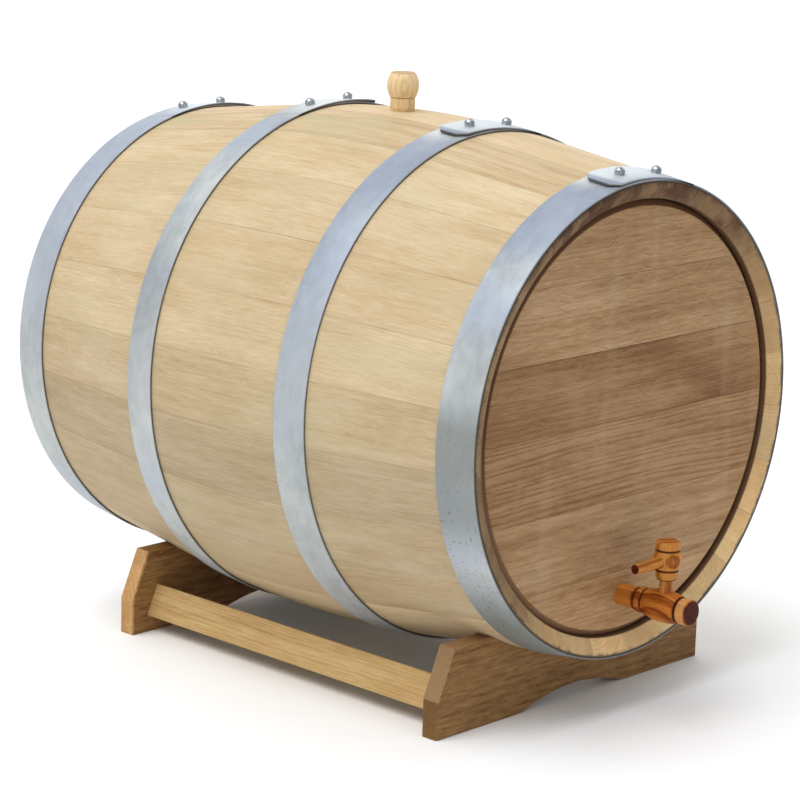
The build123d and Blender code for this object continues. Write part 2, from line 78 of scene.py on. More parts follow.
BILGE_R = cad_box[1].x
AXIS_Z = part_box("stave_24")[0].z + BILGE_R
HEAD_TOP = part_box("front_head_board_1")[1].z
HEAD_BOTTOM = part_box("front_head_board_6")[0].z
HEAD_RIM_R = (HEAD_TOP - HEAD_BOTTOM) / 2
FRONT_Y, REAR_Y = (corner.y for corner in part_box("bung_stave"))
MID_Y = (FRONT_Y + REAR_Y) / 2
HALF = (REAR_Y - FRONT_Y) / 2
END_R = end_radius()
HEAD_FACE_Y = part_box("front_head_board_3")[0].y
TAP_Z = (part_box("tap_body")[0].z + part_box("tap_body")[1].z) / 2
TAP_NOSE_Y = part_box("tap_body")[0].y
KEY_Y = (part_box("tap_key")[0].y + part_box("tap_key")[1].y) / 2
BUNG_TOP_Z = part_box("bung")[1].z

END_SLOPE = 0.13
STAVE_THICKNESS = 20 * MM
END_ANGLE = atan(END_SLOPE)
BEND_HALF = (HALF * END_SLOPE - (BILGE_R - END_R)) / (END_SLOPE - tan(END_ANGLE / 2))
BEND_R = BEND_HALF / sin(END_ANGLE)
BEND_EDGE_R = BILGE_R - BEND_R * (1 - cos(END_ANGLE))

CHIME_LAND = 4 * MM
CHIME_BEVEL_R = 172.8 * MM
CHIME_BEVEL_DEPTH = 6.3 * MM
CROZE_DEPTH = 13 * MM
CROZE_WIDTH = 7 * MM
CROZE_R = 178 * MM
HEAD_FACE_R = 167 * MM
HEAD_BACK_R = 162 * MM
HEAD_THICKNESS = 18 * MM
HEAD_SETBACK = 8 * MM
SIDE_GAP = 0.2 * MM

SHANK_R = 8.7 * MM
SHANK_TAPER = 0.03
SHANK_GAP = 0.08 * MM
KEY_SEAT_R = 5.1 * MM
KEY_SEAT_TAPER = 0.035
BUNG_HOLE_R = 9.58 * MM
BUNG_HOLE_TAPER = 0.06


def shank_radius(distance):
    """The tap's tapered shank's radius at a distance outwards from the head's face."""
    return SHANK_R + SHANK_TAPER * distance


def round_axis(radius, angle, distance):
    """The point at a radius, an angle from the top towards +X, and a distance from the mid-plane."""
    return radius * sin(angle), MID_Y + distance, AXIS_Z + radius * cos(angle)


def shell_radius(distance):
    """Outer radius of the staves at a distance from the barrel's mid-plane."""
    if abs(distance) < BEND_HALF:
        return BILGE_R - BEND_R + sqrt(BEND_R**2 - distance**2)
    return BEND_EDGE_R - END_SLOPE * (abs(distance) - BEND_HALF)


def shell_slope(distance):
    """How fast the outer radius changes with distance along the axis."""
    if abs(distance) < BEND_HALF:
        return -distance / sqrt(BEND_R**2 - distance**2)
    return -END_SLOPE if distance > 0 else END_SLOPE


def angles_covered(node):
    """First and last angle, from the top towards +X, that a stave covers round the axis."""
    low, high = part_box(node)
    middle = atan2((low.x + high.x) / 2, (low.z + high.z) / 2 - AXIS_Z)
    offsets = []
    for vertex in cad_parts[node].data.vertices:
        turn = atan2(vertex.co.x, vertex.co.z - AXIS_Z) - middle
        offsets.append((turn + pi) % (2 * pi) - pi)
    return middle + min(offsets), middle + max(offsets)


# ---- outlines and meshes


def in_mm(*points):
    """Outline points given in millimetres, as vectors in metres."""
    return [Vector(point) * MM for point in points]


def rounded(points, radius, closed=True):
    """The outline with its sharp corners rounded to about a radius."""
    steps = 3
    least_turn = radians(12)
    longest_cut = 0.45
    points = [Vector(point) for point in points]
    result = []
    for index, corner in enumerate(points):
        if not closed and index in (0, len(points) - 1):
            result.append(corner)
            continue
        before = points[index - 1] - corner
        after = points[(index + 1) % len(points)] - corner
        turn = pi - before.angle(after)
        if turn < least_turn:
            result.append(corner)
            continue
        cut = min(radius * tan(turn / 2), longest_cut * before.length, longest_cut * after.length)
        start = corner + before.normalized() * cut
        end = corner + after.normalized() * cut
        for step in range(steps + 1):
            t = step / steps
            result.append(start * (1 - t) ** 2 + corner * 2 * t * (1 - t) + end * t**2)
    return result


def arc(start, middle, end, steps):
    """Points of the circle's arc through three points."""
    a, b, c = Vector(start), Vector(middle), Vector(end)
    d = 2 * (a.x * (b.y - c.y) + b.x * (c.y - a.y) + c.x * (a.y - b.y))
    aa, bb, cc = a.length_squared, b.length_squared, c.length_squared
    centre = Vector((
        (aa * (b.y - c.y) + bb * (c.y - a.y) + cc * (a.y - b.y)) / d,
        (aa * (c.x - b.x) + bb * (a.x - c.x) + cc * (b.x - a.x)) / d,
    ))
    turn = (a - centre).angle_signed(b - centre) + (b - centre).angle_signed(c - centre)
    spoke = a - centre
    points = []
    for step in range(steps + 1):
        angle = -turn * step / steps
        x = spoke.x * cos(angle) - spoke.y * sin(angle)
        y = spoke.x * sin(angle) + spoke.y * cos(angle)
        points.append(centre + Vector((x, y)))
    return points


def outward_normals(outline):
    """Unit normals at a closed outline's points, to the right of its direction."""
    count = len(outline)
    normals = []
    for index in range(count):
        along = outline[(index + 1) % count] - outline[index - 1]
        normals.append(Vector((along.y, -along.x)).normalized())
    return normals


def grid_faces(rows, columns, close_rows=False):
    """Quads over rows of points, where each row is a closed ring of as many points."""
    faces = []
    for row in range(rows if close_rows else rows - 1):
        for column in range(columns):
            following = (column + 1) % columns
            above = (row + 1) % rows
            faces.append((
                row * columns + column,
                row * columns + following,
                above * columns + following,
                above * columns + column,
            ))
    return faces


SHARP_ANGLE = radians(35)


def finish_mesh(mesh):
    """Consistent outward normals, and smooth shading except at sharp edges."""
    work = bmesh.new()
    work.from_mesh(mesh)
    bmesh.ops.recalc_face_normals(work, faces=work.faces)
    work.to_mesh(mesh)
    work.free()
    mesh.shade_smooth()
    mesh.set_sharp_from_angle(angle=SHARP_ANGLE)


def add_vectors(mesh, name, values):
    """A vector attribute on the mesh's points, for its material."""
    layer = mesh.attributes.new(name, "FLOAT_VECTOR", "POINT")
    layer.data.foreach_set("vector", np.array(values, np.float32).ravel())


def make_piece(name, vertices, faces):
    """A mesh object with smooth shading and sharp edges."""
    mesh = bpy.data.meshes.new(name)
    mesh.from_pydata([tuple(v) for v in vertices], [], faces)
    finish_mesh(mesh)
    piece = bpy.data.objects.new(name, mesh)
    bpy.context.scene.collection.objects.link(piece)
    return piece


def stand_for(piece, material, body, node):
    """Puts a piece, with its material, on a body and in the place of a CAD node."""
    piece.data.materials.clear()
    piece.data.materials.append(material)
    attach(piece, body)
    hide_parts(node)


def paint(node, material):
    """Gives a CAD node, which keeps its shape, a procedural material."""
    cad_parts[node].data.materials[0] = material


TURNED_SEGMENTS = 96
SLIM_SEGMENTS = 64


def lathe(name, profile, origin, direction, segments=TURNED_SEGMENTS):
    """A turned piece: profile points are (distance along the axis, radius), both ends on the axis."""
    origin, direction = Vector(origin), Vector(direction)
    side = direction.orthogonal().normalized()
    other = direction.cross(side)
    vertices = [origin + direction * profile[0][0]]
    for along, radius in profile[1:-1]:
        for step in range(segments):
            angle = 2 * pi * step / segments
            ring = side * cos(angle) + other * sin(angle)
            vertices.append(origin + direction * along + ring * radius)
    vertices.append(origin + direction * profile[-1][0])
    rows = len(profile) - 2
    faces = [tuple(i + 1 for i in face) for face in grid_faces(rows, segments)]
    last = len(vertices) - 1
    for step in range(segments):
        following = (step + 1) % segments
        faces.append((0, 1 + step, 1 + following))
        faces.append((last, last - segments + step, last - segments + following))
    return make_piece(name, vertices, faces)


def cut_with(piece, cutter):
    """Subtracts a closed mesh from a piece, and removes the cutter."""
    modifier = piece.modifiers.new("cut", "BOOLEAN")
    modifier.operation = "DIFFERENCE"
    modifier.solver = "EXACT"
    modifier.object = cutter
    evaluated = piece.evaluated_get(bpy.context.evaluated_depsgraph_get())
    mesh = bpy.data.meshes.new_from_object(evaluated)
    piece.modifiers.clear()
    piece.data = mesh
    finish_mesh(mesh)
    bpy.data.objects.remove(cutter)


def drill(piece, origin, direction, ends, radius, taper):
    """Cuts a round, tapered hole between two distances along a direction from its origin."""
    wall = [(along, radius + taper * along) for along in ends]
    profile = [(ends[0], 0.0)] + wall + [(ends[1], 0.0)]
    cut_with(piece, lathe(f"{piece.name}_cutter", profile, origin, direction, SLIM_SEGMENTS))


# ---- shader nodes


def rgb(red, green, blue):
    """Linear colour from display values of 0 to 255."""
    return tuple((value / 255) ** 2.2 for value in (red, green, blue))


class Nodes:
    """A node tree, with short calls that add and link nodes. Inputs are sockets or values."""

    def __init__(self, tree):
        self.tree = tree

    def put(self, socket, value):
        """Links or sets one input; a colour gets its alpha."""
        if isinstance(value, bpy.types.NodeSocket):
            self.tree.links.new(value, socket)
        elif socket.type == "RGBA":
            socket.default_value = (*value, 1.0)
        else:
            socket.default_value = value

    def add(self, kind, *values, **settings):
        """A new node with its own settings, and values for its first inputs."""
        node = self.tree.nodes.new("ShaderNode" + kind)
        for name, setting in settings.items():
            setattr(node, name, setting)
        for socket, value in zip(node.inputs, values):
            self.put(socket, value)
        return node

    def math(self, operation, *values):
        """One arithmetic step on numbers."""
        return self.add("Math", *values, operation=operation).outputs[0]

    def times(self, first, *others):
        """The product of two or more numbers."""
        for other in others:
            first = self.math("MULTIPLY", first, other)
        return first

    def swing(self, value, amount, base=0.0):
        """The base, moved by the amount times how far the value is from 0.5."""
        return self.math("MULTIPLY_ADD", self.math("SUBTRACT", value, 0.5), amount, base)

    def vector(self, operation, *values):
        """One step on vectors, which gives a number for a length or a product."""
        node = self.add("VectorMath", *values, operation=operation)
        return node.outputs["Value" if operation in ("LENGTH", "DOT_PRODUCT") else "Vector"]

    def split(self, vector):
        """The three parts of a vector."""
        return self.add("SeparateXYZ", vector).outputs

    def join(self, x, y, z):
        """A vector from its three parts."""
        return self.add("CombineXYZ", x, y, z).outputs[0]

    def between(self, value, low, high, to_low=0.0, to_high=1.0, kind="SMOOTHSTEP"):
        """A step from one value to another as the input goes from low to high."""
        return self.add("MapRange", value, low, high, to_low, to_high, interpolation_type=kind).outputs[0]

    def band(self, value, rise_start, rise_end, fall_end, fall_start):
        """1 between the end of a rise and the start of a fall, 0 outside them."""
        rise = self.between(value, rise_start, rise_end)
        return self.times(rise, self.between(value, fall_end, fall_start))


class Material(Nodes):
    """A material's nodes, and the colour that its marks are laid on one after another."""

    def __init__(self, name):
        self.material = bpy.data.materials.new(name)
        self.material.use_nodes = True
        super().__init__(self.material.node_tree)
        self.tree.nodes.clear()
        self.surface = self.add("BsdfPrincipled")
        self.add("OutputMaterial", self.surface.outputs["BSDF"])
        self.colour = None

    def set(self, node, **values):
        """Links or sets a node's inputs, named with underscores for spaces."""
        for key, value in values.items():
            self.put(node.inputs[key.replace("_", " ")], value)

    def attribute(self, name):
        """A vector that the mesh holds at its points."""
        return self.add("Attribute", attribute_name=name).outputs["Vector"]

    def object_position(self):
        """The place in the model's frame, which stays with the wood when the piece moves."""
        return self.add("TexCoord").outputs["Object"]

    def object_normal(self):
        """The way the surface faces, in the piece's own frame."""
        normal = self.add("NewGeometry").outputs["Normal"]
        turned = self.add("VectorTransform", normal, vector_type="NORMAL", convert_from="WORLD")
        turned.convert_to = "OBJECT"
        return turned.outputs[0]

    def noise(self, position, scale, detail=2.0, roughness=0.5, distortion=0.0):
        """Smooth noise, 0 to 1 about 0.5; scale is cycles per metre along each axis."""
        if isinstance(scale, tuple):
            position = self.vector("MULTIPLY", position, scale)
            scale = 1.0
        node = self.add("TexNoise", position)
        self.set(node, Scale=scale, Detail=detail, Roughness=roughness, Distortion=distortion)
        return node.outputs["Fac"]

    def cells(self, position, scale):
        """A random value for each cell of a voronoi pattern."""
        node = self.add("TexVoronoi", self.vector("MULTIPLY", position, scale))
        self.set(node, Scale=1.0)
        return self.split(node.outputs["Color"])[0]

    def ramp(self, value, positions, colours):
        """Sets the colour by a value, from linear colours at positions."""
        node = self.add("ValToRGB", value)
        while len(node.color_ramp.elements) < len(colours):
            node.color_ramp.elements.new(0.5)
        for element, position, colour in zip(node.color_ramp.elements, positions, colours):
            element.position = position
            element.color = (*colour, 1.0)
        self.colour = node.outputs[0]

    def mix(self, factor, a, b, blend="MIX"):
        """One colour turned into another by a factor."""
        node = self.add("Mix", factor, data_type="RGBA", blend_type=blend)
        self.put(node.inputs[6], a)
        self.put(node.inputs[7], b)
        return node.outputs[2]

    def tint(self, factor, colour):
        """Lays a mark on the colour."""
        self.colour = self.mix(factor, self.colour, colour)

    def finish(self, rough, height, depth, **values):
        """The colour, roughness and other inputs, and fine relief as a height times a depth."""
        bump = self.add("Bump")
        self.set(bump, Strength=1.0, Distance=depth, Height=height)
        self.set(self.surface, Base_Color=self.colour, Roughness=rough, Normal=bump.outputs[0], **values)


# Which of X, Y and Z run along, across and into the wood, by the axis that its grain follows.
AXIS_ORDER = {"X": (0, 2, 1), "Y": (1, 0, 2), "Z": (2, 0, 1)}

# Oak. Sizes of noise are cycles per metre along, across and into the wood; ring_centre is the pith
# line's place across and into it.
OAK = dict(
    ring_width=2.6 * MM, ring_centre=(0.22, 0.03), ring_contrast=0.06, fibre_contrast=0.62,
    streak_contrast=0.42, patch_contrast=0.50, pore_strength=0.16, fleck_strength=0.20,
    fleck_size=(110.0, 190.0, 160.0), fibre_size=(60.0, 560.0, 560.0), streak_size=(13.0, 110.0, 110.0),
    figure_strength=0.0, end_tint=(0.62, 0.52, 0.42), roughness=0.66, specular=0.3, bump=0.03 * MM,
)


def grain_place(mat, grain):
    """Place along, across and into the wood, and how squarely the surface cuts the grain."""
    facing = mat.split(mat.object_normal())
    if grain == "attribute":
        return mat.attribute("grain"), facing[1]
    order = AXIS_ORDER[grain]
    parts = mat.split(mat.object_position())
    return mat.join(*(parts[i] for i in order)), facing[order[0]]


def late_wood(mat, place, far, start, look):
    """Growth rings round the pith line: 1 in each year's dense late wood, 0 in its early wood."""
    sway = mat.swing(mat.noise(far, (3.0, 9.0, 9.0)), 20 * MM)
    drift = mat.swing(mat.noise(far, (9.0, 40.0, 40.0)), 5 * MM)
    _, across, into = mat.split(place)
    across = mat.math("ADD", mat.math("SUBTRACT", across, look["ring_centre"][0]), sway)
    into = mat.math("ADD", mat.math("SUBTRACT", into, look["ring_centre"][1]), drift)
    log_radius = mat.vector("LENGTH", mat.join(0.0, across, into))
    years = mat.math("DIVIDE", log_radius, look["ring_width"])
    uneven = mat.noise(mat.join(years, start, 0.0), (0.23, 1.0, 1.0), 1.0)
    year = mat.math("FRACT", mat.math("ADD", years, mat.times(uneven, 5.0)))
    return mat.band(year, 0.0, 0.45, 1.0, 0.80)


def open_pores(mat, far, late, calm):
    """Short dark pores, most of them in the early wood."""
    pore = mat.between(mat.noise(far, (70.0, 1100.0, 1100.0), 2.0, 0.6), 0.55, 0.72)
    early = mat.math("SUBTRACT", 1.0, late)
    return mat.times(pore, mat.math("MULTIPLY_ADD", early, 0.7, 0.3), calm)


def pale_flecks(mat, far, size):
    """Small pale flecks in loose groups."""
    flecks = mat.noise(far, size, 2.5, 0.6, 1.6)
    where = mat.noise(far, (9.0, 34.0, 34.0), 1.0)
    return mat.times(mat.between(flecks, 0.54, 0.70), mat.between(where, 0.46, 0.62))


def ray_waves(mat, far):
    """Wavy lines where a quarter-sawn board cuts along the wood's rays, and a painted shadow beside each.
    """
    across = mat.split(far)[1]
    bend = mat.noise(far, (26.0, 13.0, 13.0), 2.0, 0.5)
    level = mat.math("MULTIPLY_ADD", across, 150.0, mat.times(bend, 5.0))
    phase = mat.math("FRACT", mat.math("ADD", level, 900.0))
    where = mat.between(mat.noise(far, (38.0, 75.0, 75.0), 1.5, 0.6), 0.52, 0.62)
    crest = mat.band(phase, 0.0, 0.08, 0.22, 0.10)
    wave_shadow = mat.band(phase, 0.14, 0.24, 0.46, 0.28)
    return mat.times(crest, where), mat.times(wave_shadow, where)


def wood(name, tones, seed, grain="attribute", grooves=(), finish=None, **changes):
    """Wood with growth rings round a pith line, pores, fibres, flecks and tinted end grain.

    tones are the dark, middle and light colours. grain is the axis that the grain follows, or
    "attribute" where the mesh holds its own coordinates: along, across and into the board.
    grooves are dark bands of painted shade in turned grooves, as (distance along the grain, half width).
    finish adds a piece's own marks and painted light and shade. changes are values other than OAK's;
    figure_strength adds the wavy ray figure with its painted shadows.
    """
    look = {**OAK, **changes}
    mat = Material(name)
    random = Random(seed)
    shift = tuple(random.uniform(-5, 5) for _ in range(3))
    place, facing = grain_place(mat, grain)
    far = mat.vector("ADD", place, shift)
    end = mat.between(mat.math("ABSOLUTE", facing), 0.55, 0.85)
    calm = mat.math("MULTIPLY_ADD", end, -0.65, 1.0)

    late = late_wood(mat, place, far, shift[1], look)
    fibre = mat.swing(mat.noise(far, look["fibre_size"], 4.0, 0.65), calm, 0.5)
    streak = mat.noise(far, look["streak_size"], 3.0, 0.55)
    patch = mat.noise(far, (8.0, 22.0, 22.0), 2.0)
    value = mat.swing(late, look["ring_contrast"], 0.5)
    value = mat.swing(fibre, look["fibre_contrast"], value)
    value = mat.swing(streak, look["streak_contrast"], value)
    value = mat.swing(patch, look["patch_contrast"], value)
    mat.ramp(value, (0.25, 0.5, 0.75), tones)

    dark = tuple(channel * 0.42 for channel in tones[0])
    pale = tuple(min(1.0, channel * 1.12) for channel in tones[2])
    groove_shade_colour = tuple(channel * 0.30 for channel in tones[0])
    pore = open_pores(mat, far, late, calm)
    mat.tint(mat.times(pore, look["pore_strength"]), dark)
    fleck = pale_flecks(mat, far, look["fleck_size"])
    mat.tint(mat.times(fleck, look["fleck_strength"]), pale)
    height = mat.math("MULTIPLY_ADD", pore, -1.0, mat.times(fibre, 0.9))
    height = mat.math("MULTIPLY_ADD", late, 0.2, height)
    if look["figure_strength"]:
        crest, wave_shadow = ray_waves(mat, far)
        mat.tint(mat.times(crest, look["figure_strength"]), pale)
        # Painted shadow beside each pale wave.
        mat.tint(mat.times(wave_shadow, look["figure_strength"]), tones[0])
        height = mat.math("MULTIPLY_ADD", crest, look["figure_strength"], height)

    mat.tint(end, mat.mix(1.0, mat.colour, look["end_tint"], "MULTIPLY"))
    # Painted shade along the turned grooves.
    for distance, half_width in grooves:
        off = mat.math("ABSOLUTE", mat.math("SUBTRACT", mat.split(place)[0], distance))
        groove_shade = mat.between(off, half_width, half_width * 0.3)
        mat.tint(mat.times(groove_shade, 0.85), groove_shade_colour)
    if finish:
        finish(mat, far)

    rough = mat.swing(fibre, 0.25, look["roughness"])
    rough = mat.math("MULTIPLY_ADD", fleck, -0.10, rough)
    mat.finish(rough, height, look["bump"], Specular_IOR_Level=look["specular"])
    return mat


# ---- staves


OUTSIDE_POINTS = 73
INSIDE_POINTS = 25
ACROSS_POINTS = 10
EASE_R = 0.15 * MM


def stave_outline():
    """Lengthwise section of a stave as (radius, distance along the axis), with its corners eased."""
    croze_start = HALF - CROZE_DEPTH
    croze_end = croze_start - CROZE_WIDTH
    inner_end = shell_radius(croze_end) - STAVE_THICKNESS
    rear = [
        (END_R, HALF), (END_R - CHIME_LAND, HALF), (CHIME_BEVEL_R, HALF - CHIME_BEVEL_DEPTH),
        (CHIME_BEVEL_R, croze_start), (CROZE_R, croze_start), (CROZE_R, croze_end),
        (inner_end, croze_end),
    ]
    inner = np.linspace(croze_end, -croze_end, INSIDE_POINTS)[1:-1]
    outer = np.linspace(-HALF, HALF, OUTSIDE_POINTS)[1:-1]
    inside = [(shell_radius(y) - STAVE_THICKNESS, y) for y in inner]
    front = [(radius, -along) for radius, along in reversed(rear)]
    outside = [(shell_radius(y), y) for y in outer]
    return rounded(rear + inside + front + outside, 0.9 * MM)


def stave_stations(first, last):
    """Angles across a stave and how far the outline is drawn in at each, to ease its long edges."""
    steps = []
    for offset in (0.02 * MM, 0.07 * MM, EASE_R):
        inset = EASE_R - sqrt(max(0.0, EASE_R**2 - (EASE_R - offset) ** 2))
        steps.append((offset / BILGE_R, inset))
    width = last - first
    eased = steps[-1][0]
    inner = [(angle, 0.0) for angle in np.linspace(eased, width - eased, ACROSS_POINTS)[1:-1]]
    far = [(width - angle, inset) for angle, inset in reversed(steps)]
    return [(first + angle, inset) for angle, inset in steps + inner + far]


def add_stave_coordinates(mesh, first, last):
    """Each point's place along, across and into the bent stave, and its distances from the stave's
    side and end and from the barrel's axis."""
    middle = (first + last) / 2
    grain, edges = [], []
    for vertex in mesh.vertices:
        along = vertex.co.y - MID_Y
        radius = hypot(vertex.co.x, vertex.co.z - AXIS_Z)
        turn = atan2(vertex.co.x, vertex.co.z - AXIS_Z) - middle
        turn = (turn + pi) % (2 * pi) - pi
        grain.append((along, turn * radius, shell_radius(along) - radius))
        edges.append((((last - first) / 2 - abs(turn)) * radius, HALF - abs(along), radius))
    add_vectors(mesh, "grain", grain)
    add_vectors(mesh, "edges", edges)


def make_stave(node, outline, normals):
    """One stave swept round the axis, with its own grain coordinates and edge distances."""
    first, last = angles_covered(node)
    vertices = []
    for angle, inset in stave_stations(first, last):
        for point, normal in zip(outline, normals):
            radius, along = point - normal * inset
            vertices.append(round_axis(radius, angle, along))
    count = len(outline)
    rows = len(vertices) // count
    faces = grid_faces(rows, count)
    faces.append(tuple(reversed(range(count))))
    faces.append(tuple(range((rows - 1) * count, rows * count)))
    piece = make_piece(f"{node}_wood", vertices, faces)
    if node == "bung_stave":
        top = (0, MID_Y, AXIS_Z + BILGE_R)
        drill(piece, top, (0, 0, 1), (-30 * MM, 3 * MM), BUNG_HOLE_R, BUNG_HOLE_TAPER)
    add_stave_coordinates(piece.data, first, last)
    return piece


STAVE_TONES = (rgb(186, 157, 117), rgb(205, 180, 141), rgb(221, 199, 164))
STAVE_END_TINT = (1.16, 1.02, 0.82)
GREEN_GREY = rgb(182, 172, 134)
JOINT_BROWN = rgb(128, 98, 62)
# Painted shade in the recess inside the chime.
WALL_SHADE = rgb(84, 50, 24)
# Painted shade on the chime's bevel, and its fine dark rays.
CHIME_SHADE_AND_RAYS = rgb(72, 41, 15)
RIM_DIRT = rgb(52, 44, 34)

# Counted from the bung stave towards -X: each stave's shade, its own tone with painted shade on the
# darker staves low on the side, the ones with ray figure, the one with green-grey patches and a
# flat-sawn face, and how many of them are known to be quarter-sawn.
LEFT_TONES_AND_SHADE = (1.0, 0.88, 0.98, 0.93, 0.88, 0.91, 0.82, 0.70, 0.76, 0.74, 0.86, 0.84)
FIGURED_STAVES = (2, 3, 5, 8)
FLAT_SAWN_STAVE = 1
KNOWN_STAVES = 10


def worn_joints(mat, far, joint):
    """Thin brown lines at a stave's long edges, strong in some stretches only."""
    worn = mat.noise(far, (14.0, 60.0, 60.0), 2.0)
    line = mat.between(joint, 0.55 * MM, 0.05 * MM)
    line = mat.times(line, mat.between(worn, 0.42, 0.70, 0.06, 0.55))
    mat.tint(line, JOINT_BROWN)


def painted_wall_shade(mat, end, radius):
    """Painted shade on the wall inside the chime, between its bevel and the head."""
    start = CHIME_BEVEL_DEPTH
    stop = CROZE_DEPTH + CROZE_WIDTH
    inside = mat.between(radius, CHIME_BEVEL_R + 1.2 * MM, CHIME_BEVEL_R + 0.2 * MM)
    wall = mat.band(end, start - 0.8 * MM, start + 0.4 * MM, stop + 2 * MM, stop)
    mat.tint(mat.times(inside, wall, 0.90), WALL_SHADE)


def shaded_bevel(mat, far, end, radius):
    """The chime's bevel: brown painted shade at the top and on the left, with blotches and fine dark
    rays.
    """
    near_end = mat.between(end, CHIME_BEVEL_DEPTH + 0.4 * MM, CHIME_BEVEL_DEPTH - 0.4 * MM)
    bevel = mat.times(near_end, mat.between(radius, CHIME_BEVEL_R - 1.0 * MM, CHIME_BEVEL_R))
    x, _, height = mat.split(mat.object_position())
    # Painted shade: darker high up and on the left, where the bevel faces away from the light.
    bevel_shade = mat.between(height, AXIS_Z + 0.03, AXIS_Z + 0.165, 0.0, 0.95)
    middle = mat.between(height, AXIS_Z - 0.12, AXIS_Z - 0.02, 0.0, 0.24)
    left = mat.between(x, -0.06, -0.15, 0.0, 0.66)
    bevel_shade = mat.math("MAXIMUM", mat.math("MAXIMUM", bevel_shade, middle), left)
    blotch = mat.between(mat.noise(far, (40.0, 45.0, 45.0), 2.0), 0.35, 0.65, 0.78, 1.0)
    turn = mat.math("ARCTAN2", x, mat.math("SUBTRACT", height, AXIS_Z))
    rays = mat.noise(mat.join(turn, 0.0, 0.0), (180.0, 1.0, 1.0), 2.0)
    rays = mat.times(mat.between(rays, 0.40, 0.62), bevel)
    bevel_shade = mat.math("MULTIPLY_ADD", rays, 0.16, mat.times(bevel_shade, blotch, bevel))
    mat.tint(bevel_shade, CHIME_SHADE_AND_RAYS)


def rim_dirt(mat, far, end, radius):
    """Dark dirt on the outer rim of the stave's end."""
    near_end = mat.between(end, 6 * MM, 0.0)
    rim = mat.between(radius, END_R - 4 * MM, END_R - 0.3 * MM)
    edge = mat.between(radius, END_R - 1.6 * MM, END_R - 0.7 * MM)
    marks = mat.between(mat.noise(far, (120.0, 90.0, 90.0), 3.0, 0.6), 0.44, 0.62)
    dirt = mat.math("MAXIMUM", mat.times(rim, marks), mat.times(edge, 0.8))
    mat.tint(mat.times(dirt, near_end, 0.88), RIM_DIRT)


def stave_marks_and_shade(green):
    """Green-grey patches of a strength, worn joints, dirt on the rim, and painted shade with fine rays on
    the chime's wall and bevel.
    """

    def finish(mat, far):
        joint, end, radius = mat.split(mat.attribute("edges"))
        patch = mat.noise(far, (7.0, 26.0, 26.0), 2.0)
        mat.tint(mat.between(patch, 0.48, 0.68, 0.0, green), GREEN_GREY)
        worn_joints(mat, far, joint)
        painted_wall_shade(mat, end, radius)
        shaded_bevel(mat, far, end, radius)
        rim_dirt(mat, far, end, radius)

    return finish


def shade(tones, factor, warmth=0.0):
    """The tones made lighter or darker, and warmer or cooler."""
    tint = (factor * (1 + warmth), factor, factor * (1 - warmth))
    return tuple(tuple(min(1.0, c * t) for c, t in zip(tone, tint)) for tone in tones)


def stave_wood(number, left):
    """A stave's own oak. left is its place counted from the bung stave towards -X."""
    random = Random(100 + number)
    factor = random.uniform(0.86, 1.06)
    # Known staves take their listed tone, which holds painted shade on the lower ones.
    if 0 <= left < len(LEFT_TONES_AND_SHADE):
        factor = LEFT_TONES_AND_SHADE[left]
    tones = shade(STAVE_TONES, factor, random.uniform(-0.02, 0.02))
    patchy = left == FLAT_SAWN_STAVE
    flat_sawn = patchy or (random.random() < 0.25 and not 0 <= left < KNOWN_STAVES)
    if flat_sawn:
        centre = (random.uniform(-0.02, 0.02), random.uniform(0.03, 0.06))
    else:
        centre = (random.choice((-1, 1)) * random.uniform(0.12, 0.30), random.uniform(-0.04, 0.04))
    return wood(
        f"stave_oak_{number:02d}", tones, 200 + number, finish=stave_marks_and_shade(0.75 if patchy else 0.28),
        ring_centre=centre, ring_width=random.uniform(2.0, 3.4) * MM,
        ring_contrast=0.14 if flat_sawn else 0.06, end_tint=STAVE_END_TINT,
        figure_strength=0.17 if left in FIGURED_STAVES else 0.0,
    )


def build_staves():
    """All the staves, each with its own piece of oak."""
    outline = stave_outline()
    normals = outward_normals(outline)
    staves = sorted((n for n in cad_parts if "stave" in n), key=angles_covered, reverse=True)
    first = staves.index("bung_stave")
    for number, node in enumerate(staves):
        mat = stave_wood(number, number - first)
        piece = make_stave(node, outline, normals)
        stand_for(piece, mat.material, "barrel", node)


# ---- heads

HEAD_SEGMENTS = 144
HEAD_TONES = (rgb(128, 93, 58), rgb(154, 121, 84), rgb(177, 146, 110))
SMUDGE = rgb(190, 168, 144)
# Painted shade on the head's bevel, darker at the top, and deep in the groove at its rim.
BEVEL_TOP_SHADE = rgb(78, 44, 22)
BEVEL_LOW_SHADE = rgb(122, 87, 62)
CROZE_SHADE = rgb(48, 28, 16)

# Each board's shade, warmth, ring contrast, ray figure and patchiness, from the top.
BOARD_LOOKS = [
    (1.00, 0.02, 0.08, 0.42, 0.5),
    (1.06, 0.00, 0.08, 0.38, 0.5),
    (0.70, 0.15, 0.10, 0.40, 1.0),
    (0.80, 0.10, 0.22, 0.12, 0.5),
    (1.00, 0.02, 0.10, 0.05, 0.5),
    (1.14, 0.03, 0.10, 0.00, 0.5),
]


def head_outline():
    """Half section of a head as (distance outwards from its face, radius)."""
    tongue_front = HEAD_SETBACK - CROZE_DEPTH - SIDE_GAP
    tongue_back = HEAD_SETBACK - CROZE_DEPTH - CROZE_WIDTH
    inside = shell_radius(HALF - CROZE_DEPTH - CROZE_WIDTH) - STAVE_THICKNESS - SIDE_GAP
    shares = (0.35, 0.7, 0.9)
    face = [(0.0, HEAD_FACE_R * share) for share in shares]
    back = [(-HEAD_THICKNESS, HEAD_FACE_R * share) for share in reversed(shares)]
    rim = [
        (0.0, HEAD_FACE_R * 0.95), (0.0, HEAD_FACE_R), (tongue_front, CHIME_BEVEL_R - SIDE_GAP),
        (tongue_front, HEAD_RIM_R), (tongue_back, HEAD_RIM_R), (tongue_back, inside),
        (-HEAD_THICKNESS, HEAD_BACK_R), (-HEAD_THICKNESS, HEAD_BACK_R * 0.96),
    ]
    return [(0.0, 0.0)] + face + rounded(rim, 0.6 * MM, False) + back + [(-HEAD_THICKNESS, 0.0)]


